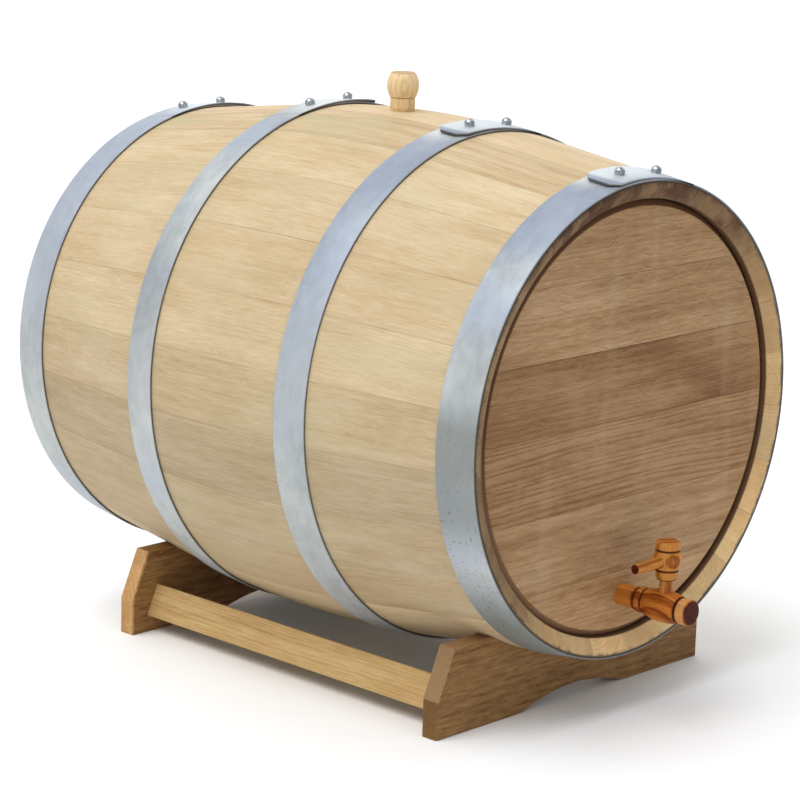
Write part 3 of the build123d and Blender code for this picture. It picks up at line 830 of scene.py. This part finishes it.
def make_head_board(node, face_y, side):
    """One board: the turned head cut at the board's edges, with the cut edges eased."""
    low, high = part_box(node)
    near = 0.01 * MM
    head = lathe(f"{node}_wood", head_outline(), (0, face_y, AXIS_Z), (0, side, 0), HEAD_SEGMENTS)
    work = bmesh.new()
    work.from_mesh(head.data)
    cuts = []
    if high.z < HEAD_TOP - MM:
        cuts.append((high.z, 1))
    if low.z > HEAD_BOTTOM + MM:
        cuts.append((low.z, -1))
    for level, sign in cuts:
        geometry = list(work.verts) + list(work.edges) + list(work.faces)
        bmesh.ops.bisect_plane(
            work, geom=geometry, plane_co=(0, 0, level), plane_no=(0, 0, sign), clear_outer=True
        )
        open_edges = [edge for edge in work.edges if edge.is_boundary]
        bmesh.ops.holes_fill(work, edges=open_edges)
    edges = []
    for edge in work.edges:
        on_face = all(abs(v.co.y - face_y) < near for v in edge.verts)
        on_cut = any(all(abs(v.co.z - level) < near for v in edge.verts) for level, _ in cuts)
        if on_face and on_cut:
            edges.append(edge)
    bmesh.ops.bevel(work, geom=edges, offset=0.35 * MM, segments=2, affect="EDGES")
    work.to_mesh(head.data)
    work.free()
    finish_mesh(head.data)
    return head


def head_smudges_and_shade(mat, far):
    """Smudges, and painted shade where the head's bevel starts and ends, darker at the top."""
    x, _, z = mat.split(mat.object_position())
    smudge = mat.noise(mat.join(x, 0.0, z), (28.0, 1.0, 6.0), 2.0)
    mat.tint(mat.between(smudge, 0.52, 0.70, 0.0, 0.16), SMUDGE)
    radius = mat.vector("LENGTH", mat.join(x, 0.0, mat.math("SUBTRACT", z, AXIS_Z)))
    low = mat.between(z, AXIS_Z + 0.04, AXIS_Z - 0.10)
    # Painted shade on the bevel, darker at the top, and in the groove at the rim, weaker low down.
    bevel = mat.between(radius, HEAD_FACE_R - 0.5 * MM, HEAD_FACE_R + 0.8 * MM, 0.0, 0.88)
    mat.tint(bevel, mat.mix(low, BEVEL_TOP_SHADE, BEVEL_LOW_SHADE))
    croze = mat.between(radius, CHIME_BEVEL_R - 2.5 * MM, CHIME_BEVEL_R - 0.5 * MM, 0.0, 0.85)
    croze = mat.times(croze, mat.math("MULTIPLY_ADD", low, -0.6, 1.0))
    mat.tint(croze, CROZE_SHADE)


def number_of(name):
    """The same number for the same name on every run."""
    return sum((index + 1) * ord(letter) for index, letter in enumerate(name))


def head_wood(end, number, face_y, side):
    """A head board's own oak, with its grain along X."""
    node = f"{end}_head_board_{number}"
    random = Random(number_of(node))
    factor, warmth, rings, figure, patches = BOARD_LOOKS[number - 1]
    low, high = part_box(node)
    across = (low.z + high.z) / 2 + random.uniform(-0.2, 0.2)
    into = face_y + side * random.uniform(-0.05, 0.05)
    return wood(
        f"head_oak_{end}_{number}", shade(HEAD_TONES, factor, warmth), random.randint(1, 9999),
        grain="X", finish=head_smudges_and_shade, ring_centre=(across, into), ring_contrast=rings,
        ring_width=4.5 * MM, fibre_contrast=0.8, streak_contrast=0.50, streak_size=(7.0, 95.0, 95.0),
        patch_contrast=patches, fleck_strength=0.25, figure_strength=figure,
    )


def build_heads():
    """Both heads' boards, with the tap's hole through the front head's lowest one."""
    rear_face_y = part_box("rear_head_board_3")[1].y
    for end, face_y, side in (("front", HEAD_FACE_Y, -1), ("rear", rear_face_y, 1)):
        for number in range(1, len(BOARD_LOOKS) + 1):
            node = f"{end}_head_board_{number}"
            piece = make_head_board(node, face_y, side)
            if node == "front_head_board_6":
                hole = (SHANK_R + SHANK_GAP, SHANK_TAPER)
                drill(piece, (0, face_y, TAP_Z), (0, side, 0), (-24 * MM, 4 * MM), *hole)
            mat = head_wood(end, number, face_y, side)
            stand_for(piece, mat.material, "barrel", node)


# ---- hoops

ZINC_TONES = (rgb(134, 139, 143), rgb(169, 174, 176), rgb(196, 200, 198))
BLUE_ZINC = rgb(156, 168, 190)
# Painted bluish sky reflection and painted highlight near the hoops' tops.
SKY_BLUE_REFLECTION = rgb(132, 144, 168)
TOP_HIGHLIGHT = rgb(228, 233, 234)
PALE_ZINC = rgb(208, 213, 208)
DULL_ZINC = rgb(112, 116, 108)
SPOT_GREY = rgb(84, 86, 88)
# Painted shade on the strip's cut edges and along the lap's lifted tip.
EDGE_SHADE = rgb(70, 64, 58)
RIVET_TONES = (rgb(120, 124, 128), rgb(196, 200, 204))


def sky_shine(mat, sky_reflection):
    """A painted highlight along the hoop's top, and painted bluish sky reflection on the shoulders beside
    it.
    """
    upward = mat.split(mat.object_normal())[2]
    shoulder = mat.band(upward, 0.66, 0.82, 0.985, 0.94)
    mat.tint(mat.times(shoulder, sky_reflection), SKY_BLUE_REFLECTION)
    mat.tint(mat.between(upward, 0.955, 0.995, 0.0, 0.62), TOP_HIGHLIGHT)


def dull_bands(mat, height, dullness):
    """Paler zinc below the hoop's shoulders, and grey bands at its middle and bottom."""
    pale = mat.between(height, AXIS_Z + 0.11, AXIS_Z + 0.05, 0.0, 0.26)
    mat.tint(pale, PALE_ZINC)
    middle = mat.band(height, AXIS_Z - 0.09, AXIS_Z - 0.045, AXIS_Z + 0.045, AXIS_Z + 0.015)
    bottom = mat.between(height, AXIS_Z - 0.085, AXIS_Z - 0.15, 0.0, 1.3)
    dull = mat.math("MAXIMUM", middle, bottom)
    mat.tint(mat.times(dull, dullness), DULL_ZINC)


def galvanised(name, seed, specks, dullness, sky_reflection):
    """Zinc-coated steel: faint spangle, clouded sheen, fine lines along the strip, painted shade on the
    cut edges, and a painted highlight and blue sky reflection near the top.

    specks and dullness are for the dark spots and grey bands low on a hoop, the last argument for the
    painted bluish sky reflection on the shoulders beside its top.
    """
    mat = Material(name)
    random = Random(seed)
    shift = (random.uniform(-5, 5), random.uniform(-5, 5), 0.0)
    strip = mat.attribute("strip")
    place = mat.vector("ADD", strip, shift)
    height = mat.split(mat.object_position())[2]
    spangle = mat.cells(place, (90.0, 90.0, 1.0))
    cloud = mat.noise(place, (8.0, 12.0, 1.0), 2.0)
    mottle = mat.noise(place, (70.0, 130.0, 1.0), 3.0, 0.6)
    lines = mat.noise(place, (25.0, 1400.0, 1.0), 2.0)
    value = mat.swing(spangle, 0.12, 0.5)
    value = mat.swing(cloud, 1.1, value)
    value = mat.swing(mottle, 0.6, value)
    value = mat.swing(lines, 0.3, value)
    mat.ramp(value, (0.15, 0.5, 0.85), ZINC_TONES)
    blue = mat.between(mat.noise(place, (9.0, 3.0, 1.0), 1.0), 0.46, 0.66, 0.0, 0.5)
    mat.tint(blue, BLUE_ZINC)
    sky_shine(mat, sky_reflection)
    dull_bands(mat, height, dullness)

    grime = mat.noise(place, (240.0, 380.0, 1.0), 3.0, 0.65)
    low = mat.between(height, AXIS_Z + 0.08, AXIS_Z - 0.08)
    spot = mat.times(mat.between(grime, 0.58, 0.72), low, specks)
    mat.tint(spot, SPOT_GREY)
    # Painted shade on the cut edges and the lap's tip.
    cut = mat.between(mat.split(strip)[2], 0.1, 0.9, 0.0, 0.85)
    mat.tint(cut, EDGE_SHADE)

    rough = mat.swing(mottle, 0.3, 0.54)
    rough = mat.math("MULTIPLY_ADD", mat.math("MAXIMUM", spot, cut), 0.2, rough)
    relief = mat.math("MULTIPLY_ADD", lines, 0.35, mat.times(mottle, 0.6))
    mat.finish(rough, relief, 0.03 * MM, Metallic=0.45)
    return mat.material


HOOP_THICKNESS = 2 * MM
HOOP_CLEARANCE = 0.05 * MM
RIVET_PITCH = 44 * MM
LAP_TAIL = 34 * MM
LAP_LIFT = 0.8 * MM
TONGUE_CORNER = 8 * MM
# Painted shade along the edge of the lap's lifted tip.
TIP_SHADE = 0.7
RING_STEPS = 240
LAP_STEPS = 48


def strip_section(distance, width):
    """Section of a hoop's strip as (radius, distance along the axis), with its edges eased."""
    radius = shell_radius(distance) + HOOP_CLEARANCE
    slope = shell_slope(distance)
    half = width / 2
    corners = [
        (radius - slope * half, distance - half),
        (radius - slope * half + HOOP_THICKNESS, distance - half),
        (radius + slope * half + HOOP_THICKNESS, distance + half),
        (radius + slope * half, distance + half),
    ]
    return rounded(corners, 0.35 * MM)


def cut_edge(radius, along, distance, width):
    """Share of painted shade: 1 on the inner part of the strip's cut front and rear edges, 0 on its outer
    face.
    """
    if abs(along - distance) <= width / 2 - 0.2 * MM:
        return 0.0
    inner = shell_radius(distance) + shell_slope(distance) * (along - distance)
    height = (radius - inner) / HOOP_THICKNESS
    return max(0.0, min(1.0, 1.5 - 1.5 * height))


def ring_points(distance, width, section, reach):
    """Points of the closed strip, and of each its place round and along the hoop and its painted edge
    shade.
    """
    points, strip = [], []
    for step in range(RING_STEPS):
        angle = 2 * pi * step / RING_STEPS
        for radius, along in section:
            points.append(round_axis(radius, angle, along))
            strip.append((angle * reach, along, cut_edge(radius, along, distance, width)))
    return points, strip


def lap_points(distance, width, section, reach, tip, tail):
    """The same for the outer end, which leaves the strip at its tail and narrows at its tip."""
    lift = (HOOP_THICKNESS + LAP_LIFT) / sin(abs(tail - tip))
    square = tail + (pi / 2 if tip > tail else -pi / 2)
    points, strip = [], []
    for step in range(LAP_STEPS + 1):
        angle = tip + (tail - tip) * step / LAP_STEPS
        narrow = max(0.0, TONGUE_CORNER - abs(angle - tip) * reach)
        keep = (width / 2 - narrow) / (width / 2)
        tip_edge = TIP_SHADE if step == 0 else 0.0
        for radius, along in section:
            near = distance + (along - distance) * keep
            dark = max(cut_edge(radius, along, distance, width), tip_edge)
            radius = radius + shell_slope(distance) * (near - along)
            x, y, z = round_axis(radius, angle, near)
            points.append((x + lift * sin(square), y, z + lift * cos(square)))
            strip.append((angle * reach + 1.0, near, dark))
    return points, strip


def make_hoop(node, lap_angle, tip_side, past_rivet):
    """A hoop's closed strip, and its lapped outer end, whose tongue points to +X or to -X."""
    low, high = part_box(node)
    distance = (low.y + high.y) / 2 - MID_Y
    width = high.y - low.y
    section = strip_section(distance, width)
    reach = shell_radius(distance) + HOOP_THICKNESS
    tip = lap_angle + tip_side * (RIVET_PITCH / 2 + past_rivet) / reach
    tail = lap_angle - tip_side * (RIVET_PITCH / 2 + LAP_TAIL) / reach
    ring, ring_strip = ring_points(distance, width, section, reach)
    lap, lap_strip = lap_points(distance, width, section, reach, tip, tail)
    count = len(section)
    lap_faces = grid_faces(LAP_STEPS + 1, count)
    lap_faces.append(tuple(range(count)))
    lap_faces.append(tuple(LAP_STEPS * count + i for i in range(count)))
    faces = grid_faces(RING_STEPS, count, close_rows=True)
    faces += [tuple(len(ring) + i for i in face) for face in lap_faces]
    piece = make_piece(f"{node}_steel", ring + lap, faces)
    add_vectors(piece.data, "strip", ring_strip + lap_strip)
    return piece


# Each hoop's lap: angle from the top in degrees, side its tongue points to, and length past the rivet.
LAPS = {
    "front_head": (2.0, -1, 20 * MM),
    "front_quarter": (1.5, -1, 20 * MM),
    "rear_quarter": (-0.7, 1, 20 * MM),
    "rear_head": (0.5, 1, 29 * MM),
}


def build_hoops():
    """The four hoops, the front ones with more painted blue sky reflection near the top and the front
    head hoop dirtier.
    """
    for number, (place, (lap_angle, tip_side, past_rivet)) in enumerate(LAPS.items()):
        specks, dullness = (0.8, 0.58) if place == "front_head" else (0.2, 0.0)
        sky_reflection = 0.62 if place.startswith("front") else 0.12
        node = f"{place}_hoop"
        piece = make_hoop(node, radians(lap_angle), tip_side, past_rivet)
        material = galvanised(f"{place}_zinc", 40 + number, specks, dullness, sky_reflection)
        stand_for(piece, material, "barrel", node)


def rivet_steel():
    """Bright zinc on the rivets, dulled in patches."""
    mat = Material("rivet_zinc")
    place = mat.object_position()
    patch = mat.noise(place, 700.0, 3.0, 0.6)
    mat.ramp(patch, (0.3, 0.65), RIVET_TONES)
    rough = mat.between(patch, 0.3, 0.7, 0.18, 0.4)
    mat.finish(rough, patch, 0.05 * MM, Metallic=1.0)
    return mat.material


def build_rivets():
    """A new material for the rivets, which keep their CAD shapes."""
    zinc = rivet_steel()
    for name in LAPS:
        paint(f"{name}_hoop_rivets", zinc)


# ---- bung and tap

BUNG_TONES = (rgb(196, 158, 108), rgb(226, 194, 146), rgb(238, 212, 170))
TAP_TONES = (rgb(118, 56, 16), rgb(164, 90, 32), rgb(196, 124, 56))
KEY_TONES = (rgb(106, 57, 19), rgb(155, 93, 38), rgb(190, 127, 64))
WET_END = (0.15, 0.045, 0.015)
DRY_END = (0.95, 0.85, 0.80)
SHANK_TONE = rgb(190, 122, 58)
NOSE_TONE = rgb(214, 166, 108)
NOSE_START = HEAD_FACE_Y - 59.8 * MM


def build_bung():
    """The turned bung: tapered plug, waisted neck and barrel-shaped knob with a flat top."""
    seat = BILGE_R + AXIS_Z
    top = BUNG_TOP_Z - seat
    plug = in_mm((-25, 4), (-25, 8), (0, 9.5), (3, 10.4), (10.5, 10.1), (11.5, 10.8))
    profile = in_mm((-25, 0)) + rounded(plug, 0.8 * MM, False)
    profile += arc(*in_mm((11.5, 10.8), (21, 13.2), (30, 10.6)), 14)[1:]
    profile += arc(*in_mm((30, 10.6), (31, 10)), (top, 8.6 * MM), 5)[1:]
    profile += [(top, 4 * MM), (top, 0.0)]
    piece = lathe("bung_wood", profile, (0, MID_Y, seat), (0, 0, 1))
    mat = wood(
        "bung_beech", BUNG_TONES, 7, grain="Z", grooves=[(seat + 11.0 * MM, 0.5 * MM)],
        ring_width=2.8 * MM, ring_centre=(-0.0115, MID_Y - 0.0138), ring_contrast=0.17,
        patch_contrast=0.9, fleck_strength=0.1, roughness=0.55,
    )
    stand_for(piece, mat.material, "bung", "bung")


def tap_wood(name, tones, seed, grain, grooves, pith, end_tint, finish=None):
    """Oiled, reddish turned wood, with soft rings and blotches."""
    mat = wood(
        name, tones, seed, grain=grain, grooves=grooves, finish=finish, ring_centre=pith,
        ring_width=4.6 * MM, ring_contrast=0.34, fibre_contrast=0.7, streak_contrast=0.5,
        patch_contrast=1.2, pore_strength=0.2, fleck_strength=0.0, end_tint=end_tint, roughness=0.5,
        specular=0.10,
    )
    mat.set(mat.surface, Coat_Weight=0.05, Coat_Roughness=0.35)
    return mat.material


def nose_finish(mat, far):
    """Paler wood on the tap's shank, and a paler ring round its nose."""
    y = mat.split(mat.object_position())[1]
    shank = mat.between(y, HEAD_FACE_Y - 17 * MM, HEAD_FACE_Y - 14 * MM, 0.0, 0.45)
    mat.tint(shank, SHANK_TONE)
    start, stop = NOSE_START, TAP_NOSE_Y
    ring = mat.band(y, start - 1.0 * MM, start - 2.0 * MM, stop + 0.6 * MM, stop + 2.4 * MM)
    mat.tint(mat.times(ring, 0.55), NOSE_TONE)


def tap_body_profile():
    """Tapered shank, bead, bulge and nose, and the bore from the tail."""
    tail = -30 * MM
    shank_end = 17.5 * MM
    bore = 3.5 * MM
    bore_end = 44 * MM
    shank = [
        (tail, bore), (tail, shank_radius(tail) - MM), (tail + MM, shank_radius(tail + MM)),
        (shank_end, shank_radius(shank_end)), (18.2 * MM, shank_radius(shank_end) - 0.9 * MM),
        (18.9 * MM, 9.4 * MM),
    ]
    nose = in_mm((59.8, 9.3), (60.5, 10.3), (69, 10.2), (70, 9.1), (70, 6))
    profile = [(bore_end, 0.0), (bore_end, bore)]
    profile += rounded(shank, 0.4 * MM, False)
    profile += arc(*in_mm((18.9, 9.4), (22.2, 10.5), (25.5, 9.8)), 8)[1:]
    profile += in_mm((26.1, 8.9), (26.5, 10.3))
    profile += arc(*in_mm((26.5, 10.3), (43, 12.9), (59, 10.6)), 20)[1:]
    profile += in_mm((59.8, 9.3))
    profile += rounded(nose, 0.5 * MM, False)[1:]
    return profile + in_mm((70, 0))


def build_tap_body():
    """The turned body, with the tapered seat for its key."""
    profile = tap_body_profile()
    piece = lathe("tap_body_wood", profile, (0, HEAD_FACE_Y, TAP_Z), (0, -1, 0))
    seat_ends = (-20 * MM, 20 * MM)
    drill(piece, (0, KEY_Y, TAP_Z), (0, 0, 1), seat_ends, KEY_SEAT_R, KEY_SEAT_TAPER)
    grooves = [(HEAD_FACE_Y - d * MM, w * MM) for d, w in ((18.2, 2.2), (26.1, 2.0), (59.8, 2.0))]
    pith = (0.012, TAP_Z + 0.016)
    material = tap_wood("tap_body_beech", TAP_TONES, 11, "Y", grooves, pith, WET_END, nose_finish)
    stand_for(piece, material, "tap", "tap_body")


def tap_key_profile():
    """Tapered plug with its outlet, stem, collar, belly and cap."""
    profile = in_mm((-1, 0), (-1, 2.5), (-11.9, 2.5), (-11.9, 4.6), (12.9, 5.5), (22, 5.3), (22, 7.8))
    profile += arc(*in_mm((22, 7.8), (24.6, 8.7), (28.9, 9.1)), 6)[1:]
    profile += in_mm((29.7, 8.3), (30.5, 9.4))
    profile += arc(*in_mm((30.5, 9.4), (37.7, 11.3), (44.9, 9.9)), 14)[1:]
    profile += in_mm((45.7, 8.9), (46.5, 9.9), (50.5, 9.8))
    profile += arc(*in_mm((50.5, 9.8), (52.2, 9.0), (53, 7.4)), 6)[1:]
    return profile + in_mm((53, 4), (53, 0))


def build_tap_key():
    """The turned key."""
    piece = lathe("tap_key_wood", tap_key_profile(), (0, KEY_Y, TAP_Z), (0, 0, 1))
    grooves = [(TAP_Z + d * MM, w * MM) for d, w in ((22.2, 0.9), (29.7, 1.4), (45.7, 1.4))]
    pith = (0.010, KEY_Y + 0.012)
    material = tap_wood("tap_key_beech", KEY_TONES, 12, "Z", grooves, pith, DRY_END)
    stand_for(piece, material, "tap_key", "tap_key")


def build_tap_peg():
    """The side peg of the key."""
    outline = in_mm((0, 3), (0, 4.9), (6.8, 4.9), (36.3, 4.1), (37, 3.4), (37, 2))
    profile = [(0.0, 0.0)] + rounded(outline, 0.4 * MM, False) + in_mm((37, 0))
    low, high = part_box("tap_key_peg")
    centre = (low + high) / 2
    origin = (high.x, centre.y, centre.z)
    piece = lathe("tap_key_peg_wood", profile, origin, (-1, 0, 0), SLIM_SEGMENTS)
    pith = (centre.z + 0.008, KEY_Y + 0.006)
    material = tap_wood("tap_peg_beech", KEY_TONES, 13, "X", [], pith, WET_END)
    stand_for(piece, material, "tap_key", "tap_key_peg")


# ---- cradle and dowels

BOLSTER_TONES = (rgb(102, 69, 35), rgb(135, 99, 58), rgb(158, 122, 77))
FRONT_END_TINT = (0.64, 0.60, 0.48)
REAR_END_TINT = (1.90, 2.05, 2.50)
# Painted light on the upward-facing shoulders.
SHOULDER_LIGHT = rgb(190, 160, 120)
RAIL_TONES = (rgb(158, 124, 74), rgb(184, 150, 98), rgb(200, 170, 120))


def lit_shoulders(mat, far):
    """Painted light: paler wood on the shoulders that slope upwards."""
    upward = mat.split(mat.object_normal())[2]
    mat.tint(mat.between(upward, 0.10, 0.30, 0.0, 0.30), SHOULDER_LIGHT)


def build_cradle():
    """New materials for the bolsters, rails and dowels, which keep their CAD shapes."""
    for node, seed, pith, end_tint, finish in (
        ("front_bolster", 21, (-0.05, -0.35), FRONT_END_TINT, lit_shoulders),
        ("rear_bolster", 22, (-0.04, 0.30), REAR_END_TINT, None),
    ):
        bolster = wood(
            f"{node}_oak", BOLSTER_TONES, seed, grain="X", finish=finish, ring_centre=pith,
            ring_contrast=0.10, fibre_contrast=1.0, fibre_size=(60.0, 420.0, 420.0),
            streak_contrast=0.30, pore_strength=0.45, end_tint=end_tint,
        )
        paint(node, bolster.material)
    for node, seed in (("left_rail", 23), ("right_rail", 24)):
        rail = wood(f"{node}_oak", RAIL_TONES, seed, "Y", ring_contrast=0.15, ring_centre=(0.1, 0.2))
        paint(node, rail.material)
    dowels = wood("dowel_beech", BUNG_TONES, 25, "Z")
    paint("front_head_dowels", dowels.material)
    paint("rear_head_dowels", dowels.material)


# ---- floor, light and camera

FLOOR_TONES = (rgb(249, 250, 251), rgb(252, 252, 253))
FLOOR_REACH = 14.0

SKY_COLOUR = (0.97, 0.985, 1.0)
SKY_STRENGTH = (0.28, 0.80)
SWEEP_DIRECTION = (0.70, 0.72, 0.0)
SWEEP_START = 0.2
SWEEP_STRENGTH = 1.05

CAMERA_TARGET = Vector((0, MID_Y, AXIS_Z))
CAMERA_AZIMUTH = radians(-46.56)
CAMERA_ELEVATION = radians(12.32)
CAMERA_ROLL = radians(1.69)
CAMERA_DISTANCE = 2.420
CAMERA_LENS = 130.7
CAMERA_SHIFT = (0.0064, -0.0440)


def build_floor():
    """A wide, nearly white floor that isn't part of the object."""
    mat = Material("pale_floor")
    speckle = mat.noise(mat.object_position(), 30.0, 3.0)
    mat.ramp(speckle, (0.3, 0.7), FLOOR_TONES)
    mat.set(mat.surface, Base_Color=mat.colour, Roughness=0.8)
    mesh = bpy.data.meshes.new("floor")
    signs = ((-1, -1), (1, -1), (1, 1), (-1, 1))
    corners = [(x * FLOOR_REACH, y * FLOOR_REACH, 0) for x, y in signs]
    mesh.from_pydata(corners, [], [(0, 1, 2, 3)])
    mesh.materials.append(mat.material)
    floor = bpy.data.objects.new("floor", mesh)
    bpy.context.scene.collection.objects.link(floor)


def soft_sun(name, direction, angle, strength):
    """A broad, far, soft light from a direction; its angle is in degrees."""
    data = bpy.data.lights.new(name, "SUN")
    data.angle = radians(angle)
    data.energy = strength
    light = bpy.data.objects.new(name, data)
    light.rotation_euler = Vector(direction).to_track_quat("Z", "Y").to_euler()
    bpy.context.scene.collection.objects.link(light)


def studio_world():
    """A studio sky, strongest overhead, with a bright sweep behind the object."""
    world = bpy.data.worlds.new("studio")
    world.use_nodes = True
    nodes = Nodes(world.node_tree)
    direction = nodes.add("TexCoord").outputs["Generated"]
    height = nodes.split(direction)[2]
    ahead = nodes.vector("DOT_PRODUCT", direction, SWEEP_DIRECTION)
    sky = nodes.between(height, 0.0, 1.0, *SKY_STRENGTH, "LINEAR")
    sweep = nodes.between(ahead, SWEEP_START, 1.0, 0.0, SWEEP_STRENGTH, "LINEAR")
    background = world.node_tree.nodes["Background"]
    nodes.put(background.inputs["Color"], SKY_COLOUR)
    nodes.put(background.inputs["Strength"], nodes.math("ADD", sky, sweep))
    bpy.context.scene.world = world


def build_light():
    """Two soft suns, from above and from the left, and the sky."""
    soft_sun("key", (-0.55, 0.10, 1.0), 45, 1.75)
    soft_sun("fill", (-1.0, -0.8, 0.5), 60, 0.25)
    studio_world()
    bpy.context.scene.view_settings.view_transform = "Standard"


def build_camera():
    """The photo's camera, from the front left and a little above, slightly rolled."""
    data = bpy.data.cameras.new("camera")
    data.lens = CAMERA_LENS
    data.shift_x, data.shift_y = CAMERA_SHIFT
    level = cos(CAMERA_ELEVATION)
    back = Vector((
        sin(CAMERA_AZIMUTH) * level,
        -cos(CAMERA_AZIMUTH) * level,
        sin(CAMERA_ELEVATION),
    ))
    camera = bpy.data.objects.new("camera", data)
    camera.location = CAMERA_TARGET + back * CAMERA_DISTANCE
    turn = back.to_track_quat("Z", "Y") @ Matrix.Rotation(CAMERA_ROLL, 3, "Z").to_quaternion()
    camera.rotation_euler = turn.to_euler()
    bpy.context.scene.collection.objects.link(camera)
    bpy.context.scene.camera = camera


# ---- the scene

build_staves()
build_heads()
build_hoops()
build_rivets()
build_bung()
build_tap_body()
build_tap_key()
build_tap_peg()
build_cradle()
build_floor()
build_light()
build_camera()
